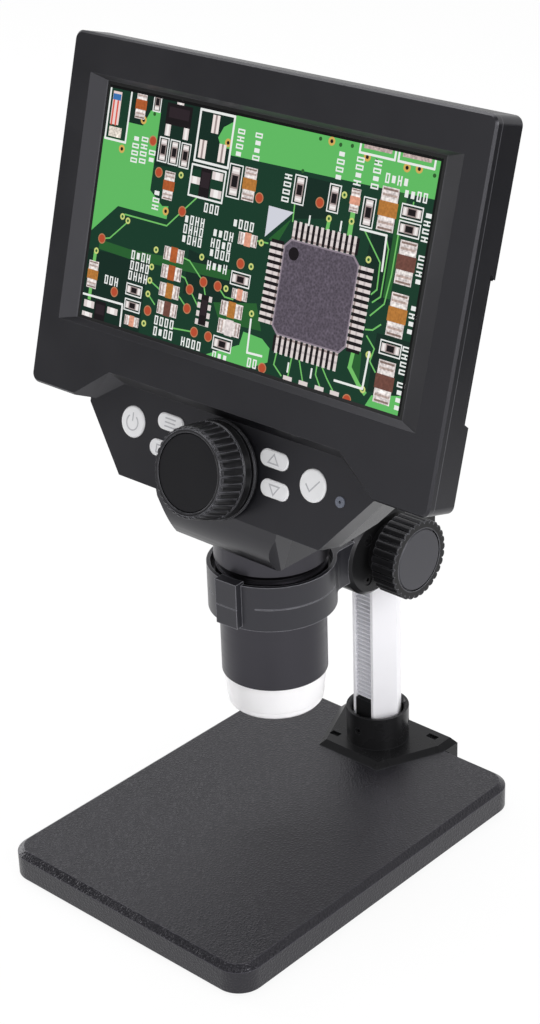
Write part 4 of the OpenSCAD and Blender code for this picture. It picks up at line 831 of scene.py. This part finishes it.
# thin tracks, then the middles of the ringed holes and of the dots
TRACKS = (
    [(-61, -2), (-39.5, -2), (-33, 4.5), (-27, 10.5)], [(-58.5, -4), (-67, -12), (-71, -13)],
    [(-30, -11.5), (-26, -12), (-18, -18)], [(-30, -18), (-27, -18.5), (-24, -22)],
    [(-30, -25), (-28, -26), (-24, -29)], [(-44, -28), (-40, -31)], [(-44, -23), (-39, -25)],
    [(-18, -18), (-16, -23)], [(-24, -22), (-19, -27)], [(-11, -18), (-7, -21), (-3, -21)],
    [(-30, -37.5), (-19, -36.5)], [(18, 21), (18.5, 11)], [(50, 14), (58.5, 5), (59, -4), (57, -6)],
    [(59, 14), (61, 10), (61, -6), (58, -8.5)], [(64, 18), (64, 2), (63, -8), (58, -13)],
    [(57, -18), (60, -17.5), (63, -15)], [(58, -20), (62, -23.5), (61, -28), (64, -31)],
    [(27, -42), (27.5, -34)], [(31, -35), (34, -42)], [(39, -35), (39, -38), (42, -42)],
    [(41.5, -35), (44, -38), (48, -42)], [(20.5, -34), (20, -39), (24, -42)], [(-4, 1), (9, 1.5)],
    [(68, 27), (68, 22)]
)
HOLES = (
    (-62, -3), (-59, -4), (-36, 17), (34, 15), (39, 24), (53.5, 5), (6, 1), (-73, -18), (-43, -11.5),
    (-44, -18), (-44, -23), (-44, -28), (-7, -18), (3, -8), (-44, -39), (6.5, -24), (60, -26), (60, -38),
    (43.8, 16), (-20.5, -9.5)
)
DOTS = (
    (2, 16), (29, 19.5), (-52, 26.5), (-47, 16), (-33, 4.5), (-71, -13), (-61, -31), (-43, -34), (-2, -8),
    (-11, -18), (-18, -18), (-24, -22), (-24, -29), (-19, -36.5), (-12, -36.5), (54, -43), (15, -41.5)
)
# middle, turn and size of the resistors
RESISTORS = (
    (-46.4, 24.3, 0, 0.98), (-40.9, 24.2, 0, 0.98), (-35.4, 24, 0, 0.98), (19.3, 22, 0, 1.1),
    (34.8, 22, 0, 1.05), (50.1, 20.2, 0, 1.1), (68, 23.6, 90, 1), (68, 18, 90, 1), (68.6, -22, 90, 1),
    (-10.4, 19.5, 0, 1.3), (-51.2, -28.3, 90, 0.9), (-51, -34, 90, 0.9), (-1, -13.5, 90, 1),
    (-5, -37.7, 90, 1), (-52.3, 40.5, 0, 0.8)
)
# middle, turn, colour and size of the capacitors
CAPACITORS = (
    (58, 22.8, 0, TAN, 1), (69, 7, 0, BROWN, 1), (69, -10.5, 0, TAN, 1), (68.4, -33.5, 0, BROWN, 1),
    (-3.4, 19.7, 0, TAN, 0.8), (-41.3, 12.2, 0, ORANGE, 0.7), (-60.2, 38.2, 0, ORANGE, 0.7),
    (-34, -11.5, 90, ORANGE, 0.68), (-34, -18.1, 90, ORANGE, 0.68), (-33.8, -24.7, 90, TAN, 0.68),
    (-33.6, -31.3, 90, BROWN, 0.68), (-3, -24.8, 90, TAN, 0.72), (-3, -31.3, 90, TIN, 0.72),
    (-73.3, -27, 0, TAN, 0.7), (43.8, 23, 0, PEACH, 0.55), (-50.3, -39.6, 90, PEACH, 0.5),
    (-0.3, -18.8, 90, PEACH, 0.5), (-0.4, 0.8, 90, PEACH, 0.6)
)
# middle and turn of the rows of white marks, and their number where it isn't four
NOTES = (
    (-60.3, 22, 90), (-56, 22.4, 90), (-51.6, 21, 90, 2), (-46.5, 6, 90, 3), (-19.3, 8, 0, 3),
    (-26.4, 2.3, 0), (-26.4, -1.2, 0), (-26.4, -4.8, 0), (-12, 0.2, 0), (-12.4, -3.5, 0), (-12.3, -7, 0),
    (-12.7, -11.6, 0), (-3.3, 5.4, 0), (-10.5, 33, 90), (-2.3, 33, 90), (13.6, 21.6, 90), (35.2, 33.2, 90),
    (43.5, 32.8, 90), (51, 33, 90), (59.7, 32.8, 0), (68.5, 29.2, 0), (75, 20, 90), (75.3, 6, 90),
    (75.4, -10.7, 90), (75.2, -24.5, 90), (75.4, -36.6, 90), (-50.1, -15.6, 0), (-50, -19.4, 0),
    (-50.2, -23.2, 0), (-63.3, -27.3, 0, 3), (-34.2, -36.4, 0), (-34, -40.4, 0), (-19.8, -41, 0),
    (-5.4, -42.5, 0, 3), (10, -41, 0, 2)
)


def draw_pours(p):
    """Copper areas under the mask: dark ground, middle patches and bright pours."""
    p.box(0, 0, SCREEN_W, SCREEN_H, GROUND)
    for shade, areas in ((DEEP, DEEP_AREAS), (MOSS, MOSS_AREAS), (POUR, POUR_AREAS)):
        for points in areas:
            p.shape(points, shade)


def draw_traces(p):
    """Thin tracks, ringed holes and bare copper dots."""
    for route in TRACKS:
        p.line(route, 0.55, TRACE)
    for width, route in ((1.6, [(53.5, -26), (53, -32), (58, -37), (61, -39)]),
                         (2.0, [(43.8, 19), (43.8, 10)]), (1.5, [(34.2, 15), (34, 10)]),
                         (1.6, [(-73.4, -18), (-73.4, -36)])):
        p.line(route, width, TRACE)
    for x, y in HOLES:
        p.via(x, y, 1.2, LIME, MOSS)
    for x, y in DOTS:
        p.disc(x, y, 1.9, COPPER_EDGE)
        p.disc(x, y, 1.5, COPPER)
    for x, y in ((30, 40.5), (63, 37.5), (68, 38), (46, 38), (-67, 21), (-41, 3), (-16, 32), (-58, 33)):
        p.via(x, y, 1.5, (214, 176, 92), SOOT)
    for x, y in ((25, 40.5), (39, 40.5), (34, 40), (74.5, 37), (50, 37.5), (19.5, 28.5), (-53, 36)):
        p.disc(x, y, 0.7, (44, 92, 44))


QUARTERS = ((1, 0), (0, 1), (-1, 0), (0, -1))


def draw_big_chip(p, x, y, half, pins):
    """The square chip: four rows of tin legs and a speckled body with a dimple."""
    pitch = (2 * half - 6.4) / (pins - 1)
    for side, (c, s) in enumerate(QUARTERS):
        turn = side * 90
        for i in range(pins):
            out, along = half + 3.3, (i - (pins - 1) / 2) * pitch
            for shift, length, wide, shade in ((-0.5, 5.8, 0.5, SOOT), (0, 6.6, 0.52, TIN)):
                a = along + shift * pitch
                p.box(x + out * c - a * s, y + out * s + a * c, length, pitch * wide, shade, turn)
            for reach, shade in ((0.8, TIN_SHADE), (3.6, (198, 188, 188))):
                knee = half + reach
                p.box(x + knee * c - along * s, y + knee * s + along * c, 0.8, pitch * 0.52, shade, turn)

    def body(reach, cut):
        return [(x + reach * c - b * s, y + reach * s + b * c)
                for c, s in QUARTERS for b in (cut - reach, reach - cut)]

    p.shape(body(half + 0.2, 2.6), (146, 134, 146))
    p.shape(body(half - 0.4, 2.5), (92, 84, 96), 1.0)
    p.disc(x - half + 4.6, y + half - 4.6, 2.3, (20, 14, 20))


def draw_resistor(p, x, y, turn, size):
    """Black chip with tin ends in a white outline."""
    wide, tall = 5.0 * size, 9.2 * size
    p.box(x, y, wide, tall, SILK, turn)
    p.box(x, y, wide - 0.9, tall - 0.9, DEEP, turn)
    p.box(x, y, 2.8 * size, 7.6 * size, TIN, turn)
    p.box(x, y, 3.0 * size, 4.0 * size, TIN_SHADE, turn)
    p.box(x, y, 2.1 * size, 3.1 * size, SOOT, turn)
    for end in (-1, 1):
        p.box(*spin(x, y, 0, end * 2.9 * size, turn), 2.3 * size, 0.6 * size, TIN_GLINT, turn)


def draw_capacitor(p, x, y, turn, colour, size):
    """Fired block with rough tin ends."""
    p.box(x, y, 7.2 * size, 14.6 * size, TIN, turn, 1.0)
    p.box(x, y, 8.0 * size, 5.0 * size, colour, turn, 0.5)
    for end in (-1, 1):
        for reach, thick, shade in ((3.2, 0.9, (246, 240, 236)), (4.6, 0.8, (186, 166, 158)),
                                    (6.5, 0.7, (140, 118, 110))):
            p.box(*spin(x, y, 0, end * reach * size, turn), 6.2 * size, thick * size, shade, turn, 0.8)


def draw_block(p, x, y, wide, tall, legs):
    """Black block on tin legs, each leg given by its middle and size."""
    for a, b, w, h in legs:
        p.box(x + a, y + b, w, h, TIN)
        p.box(x + a, y + b, w * 0.4, h, TIN_GLINT)
    p.box(x, y, wide, tall, SOOT)
    p.box(x, y + tall * 0.08, wide * 0.8, tall * 0.5, (42, 32, 38))


def draw_ticks(p, x, y, turn, count=4):
    """A row of plain white marks beside a part: bars, hollow pads and filled pads."""
    rng = random.Random(int(x * 7 + y))
    for i in range(count):
        middle = spin(x, y, (i - (count - 1) / 2) * 2.6, 0, turn)
        kind = rng.choice(("hollow", "bars", "hollow", "pad"))
        if kind == "pad":
            p.box(*middle, 1.5, 2.4, SILK, turn)
            continue
        for side in (-0.6, 0.6):
            p.box(*spin(*middle, side, 0, turn), 0.55, 3.3, SILK, turn)
        for level in (-1.4, 1.4) if kind == "hollow" else (0,):
            p.box(*spin(*middle, 0, level, turn), 1.6, 0.5, SILK, turn)


def make_picture():
    """What the screen shows: a generic circuit board close up."""
    p = Picture()
    draw_pours(p)
    draw_traces(p)
    draw_big_chip(p, 33.3, -11.7, 16.6, 12)
    p.shape([(7, 14.3), (18.4, 14.1), (7.2, 3.4)], (214, 216, 226))
    for where in RESISTORS:
        draw_resistor(p, *where)
    for where in CAPACITORS:
        draw_capacitor(p, *where)
    draw_block(p, -41, 37.4, 12.5, 7.6, [(-4.5, -5.4, 2.6, 5), (4.5, -5.4, 2.6, 5), (0, 4.6, 3.4, 2)])
    draw_block(p, -24.1, 16.5, 5, 11, [(-5, 0, 5, 2.6), (5.5, 3.2, 5.2, 2.8), (5.8, -3, 5.2, 2.8)])
    draw_block(p, -67.1, -39.6, 5.6, 7.4, [(-6, 1.4, 5.4, 2.6), (-6.4, -3, 5.4, 2.6), (6.4, 1.4, 5.4, 2.4)])
    draw_block(p, -16, -27.8, 3.6, 11, [(0, b, 6.6, 2) for b in (4.4, 1.4, -1.6, -4.6)])
    p.frame(-22.6, 32.4, 16.3, 18, 0.9, SILK)
    p.frame(-23.1, 16.4, 16.3, 11, 0.7, SILK)
    for x, y in ((-23, 37.3), (-27.6, 27.8), (-18.2, 27.9)):
        p.box(x, y, 3.4, 6.4, (244, 232, 228))
        p.box(x, y, 0.9, 6.4, TIN_SHADE)
    p.frame(-71, 33, 10.6, 19, 0.8, SILK)
    p.box(-72.7, 35, 4.4, 12, (240, 216, 212))
    for x in (-74.1, -72.0):
        p.box(x, 33.5, 0.8, 9.5, (222, 92, 76))
    p.box(-72.8, 39, 4.0, 2.2, (60, 116, 180))
    p.box(-71.6, 26.4, 6.4, 3.6, (236, 226, 214), 0, 1.0)
    for x in (50, 66.5):
        p.frame(x, 41.5, 15, 5, 0.8, SILK)
        p.box(x, 42.4, 12, 3.4, (196, 176, 172), 0, 1.0)
    for x, y in ((27, -43), (34.2, -43), (41.5, -43), (48.4, -43)):
        p.box(x, y, 4, 3, TIN)
    for where in NOTES:
        draw_ticks(p, *where)
    for line in ([(47.5, -37.9), (59.8, -37.8), (60.2, -25)], [(48, 14.3), (59.3, 14.3), (59.8, 2.5)],
                 [(-77, -35), (-56, -34.6), (-55.7, -43)], [(6.6, -26), (7.1, -37.8), (14, -37.5)]):
        p.line(line, 0.8, SILK)
    for x, y in ((25.8, 12.7), (39.6, 13.5), (26.5, -38.5), (37, -38)):
        p.box(x, y, 0.7, 3.6, SILK)
    # painted shadow of the window's lip along the picture's top and right edges
    p.box(0, SCREEN_H / 2 - 0.5, SCREEN_W, 1.0, LIP_SHADOW)
    p.box(SCREEN_W / 2 - 0.45, 0, 0.9, SCREEN_H, LIP_SHADOW)
    p.bm.transform(HEAD_MM)
    mesh = bpy.data.meshes.new("screen_picture")
    p.bm.to_mesh(mesh)
    p.bm.free()
    new_piece("screen_picture", mesh, "picture", "head")


def soften_mouldings():
    """Rounds the edges of the shells, the stand and the metal."""
    for node, width in (("front_shell", 0.35), ("rear_shell", 0.35), ("base_shell", 0.5), ("pole_foot", 0.3),
                        ("carriage_housing", 0.3), ("side_cover", 0.3), ("ring_holder", 0.3),
                        ("pole_cap", 0.3), ("lens_barrel", 0.2), ("light_cap", 0.3), ("pole", 0.35)):
        softened(node, node + "_dressed", width)


def make_frame_seam():
    """The parting line round the frame's sides behind its front, coloured pale as a painted highlight line.
    """
    right, top = FRAME_W / 2 - FRAME_R, SCREEN_H / 2 + FRAME_TOP - FRAME_R
    low = -SCREEN_H / 2 - FRAME_LOW + FRAME_R
    low_d, high_d = SEAM_D - SEAM_HALF, SEAM_D + SEAM_HALF
    path = []
    for x, u, start in ((-right, low, 270), (-right, top, 180), (right, top, 90), (right, low, 0)):
        for step in range(9):
            a = math.radians(start - step * 90 / 8)
            path.append((x, u, math.cos(a), math.sin(a)))
    bm = bmesh.new()
    bar(bm, [[(x + across * (FRAME_R + reach), u + up * (FRAME_R + reach), depth)
              for reach, depth in ((SEAM_PROUD, low_d), (SEAM_PROUD, high_d),
                                   (-SEAM_SUNK, high_d), (-SEAM_SUNK, low_d))]
             for x, u, across, up in path])
    new_piece("frame_seam", mesh_from(bm, "frame_seam", HEAD_MM, 30), "seam_highlight", "head")


# ---- camera, light, floor ----

# azimuth, elevation and roll in degrees, the point looked at in mm, and how far off in metres
VIEW_TURN = (42.93, 26.18, -1.96)
VIEW_TARGET = (7.22, 0.0, 148.67)
VIEW_DISTANCE = 0.79141
# the picture's longer side, its middle, and the lens axis and focal length, in its own pixels
LONG_SIDE = 1024
MIDDLE_X, MIDDLE_Y = 270, 512
AXIS_X, AXIS_Y = 268.64, 505.61
FOCAL = 2157.2
SENSOR = 36.0

# brightness of the room, and of what glossy faces see of it to the left, right, halfway up and above
ROOM = 0.62
LEFT_GLOSS = 0.06
RIGHT_GLOSS = 2.0
MIDDLE_GLOSS = 0.84
TOP_GLOSS = 0.1


def set_camera():
    """Stands a camera where the object is seen from its front right and a little above."""
    azimuth, elevation, roll = map(math.radians, VIEW_TURN)
    ahead = Vector((-math.sin(azimuth) * math.cos(elevation), math.cos(azimuth) * math.cos(elevation),
                    -math.sin(elevation)))
    right = ahead.cross(Vector((0, 0, 1))).normalized()
    up = right.cross(ahead)
    turned_right = right * math.cos(roll) + up * math.sin(roll)
    turned_up = up * math.cos(roll) - right * math.sin(roll)
    camera = bpy.data.cameras.new("camera")
    camera.sensor_width = SENSOR
    camera.lens = FOCAL * SENSOR / LONG_SIDE
    camera.shift_x = (MIDDLE_X - AXIS_X) / LONG_SIDE
    camera.shift_y = (AXIS_Y - MIDDLE_Y) / LONG_SIDE
    camera.clip_start = 0.02
    camera.clip_end = 20
    obj = new_object("camera", camera)
    turn = Matrix((turned_right, turned_up, -ahead)).transposed().to_4x4()
    obj.matrix_world = Matrix.Translation(Vector(VIEW_TARGET) * MM - ahead * VIEW_DISTANCE) @ turn
    bpy.context.scene.camera = obj


def area_light(name, place, size, power):
    """A square lamp that shines at the middle of the object."""
    lamp = bpy.data.lights.new(name, "AREA")
    lamp.energy = power
    lamp.shape = "RECTANGLE"
    lamp.size = size
    lamp.size_y = size
    obj = new_object(name, lamp)
    obj.location = place
    obj.rotation_euler = (Vector((0, 0, 0.15)) - Vector(place)).to_track_quat("-Z", "Y").to_euler()


def light_scene():
    """White room whose mirror image is dark at the left and high up, with three soft lamps."""
    world = bpy.data.worlds.new("studio")
    bpy.context.scene.world = world
    world.use_nodes = True
    tree = world.node_tree
    back = tree.nodes["Background"]
    back.inputs["Color"].default_value = (1, 1, 1, 1)
    ray = add(tree, "LightPath").outputs
    seen = calc(tree, "MAXIMUM", ray["Is Camera Ray"], ray["Is Transmission Ray"])
    way = add(tree, "TexCoord").outputs["Generated"]
    split = add(tree, "SeparateXYZ", {0: way}).outputs

    ahead = fade(tree, split["X"], -0.7, -0.28, LEFT_GLOSS, RIGHT_GLOSS)
    behind = fade(tree, split["Y"], -0.4, 0.48)
    front = plus(tree, times(tree, ahead, minus(tree, 1.0, behind)), behind)
    high = times(tree, fade(tree, split["Z"], 0.15, 0.5, 1.0, MIDDLE_GLOSS),
                 fade(tree, split["Z"], 0.6, 0.75, 1.0, TOP_GLOSS))
    mirrored = minus(tree, times(tree, front, high), ROOM)
    glossy = times(tree, ray["Is Glossy Ray"], mirrored)
    level = plus(tree, times(tree, seen, 1.0 - ROOM), glossy)
    tree.links.new(plus(tree, level, ROOM), back.inputs["Strength"])
    area_light("overhead", (-0.3, 0.3, 1.5), 1.2, 16)
    area_light("left", (-1.6, -0.1, 0.5), 0.9, 10)
    area_light("right", (1.4, -0.3, 0.8), 0.8, 11)
    bpy.context.scene.view_settings.view_transform = "Standard"


def lay_floor():
    """A pale floor that reads as the white room but keeps the shadow, and fades in mirror images."""
    bm = bmesh.new()
    bmesh.ops.create_grid(bm, x_segments=1, y_segments=1, size=4.0)
    mesh = mesh_from(bm, "floor", Matrix.Translation((0, 0, FLOOR_Z - 0.0002)))
    floor = new_object("floor", mesh)
    made = Finish("floor paint", (0.85, 0.85, 0.85, 1), 0.9, **{"Specular IOR Level": 0.1})
    tree = made.tree
    place = add(tree, "NewGeometry").outputs["Position"]
    away = add(tree, "VectorMath", {0: place, 1: (0.6, 0.8, 0)}, operation="DOT_PRODUCT")
    reach = add(tree, "VectorMath", {0: place}, operation="LENGTH")
    dark = calc(tree, "MAXIMUM", fade(tree, away.outputs["Value"], 0.25, 0.66),
                fade(tree, reach.outputs["Value"], 0.6, 1.2, 0.0, 0.55))
    ray = add(tree, "LightPath").outputs
    seen = calc(tree, "MAXIMUM", ray["Is Camera Ray"], ray["Is Glossy Ray"])
    seen = calc(tree, "MAXIMUM", seen, ray["Is Transmission Ray"])
    shade = times(tree, ray["Is Glossy Ray"], dark)
    glow = add(tree, "Emission", {"Strength": minus(tree, 1.0, shade)})
    mix = add(tree, "MixShader", {0: times(tree, seen, 0.9), 1: made.shader.outputs[0], 2: glow.outputs[0]})
    output = next(n for n in tree.nodes if n.type == "OUTPUT_MATERIAL")
    tree.links.new(mix.outputs[0], output.inputs["Surface"])
    mesh.materials.append(made.material)


set_camera()
light_scene()
lay_floor()
dress_nodes()
soften_mouldings()
make_height_knob()
make_focus_knob()
make_keys()
make_picture()
make_frame_seam()
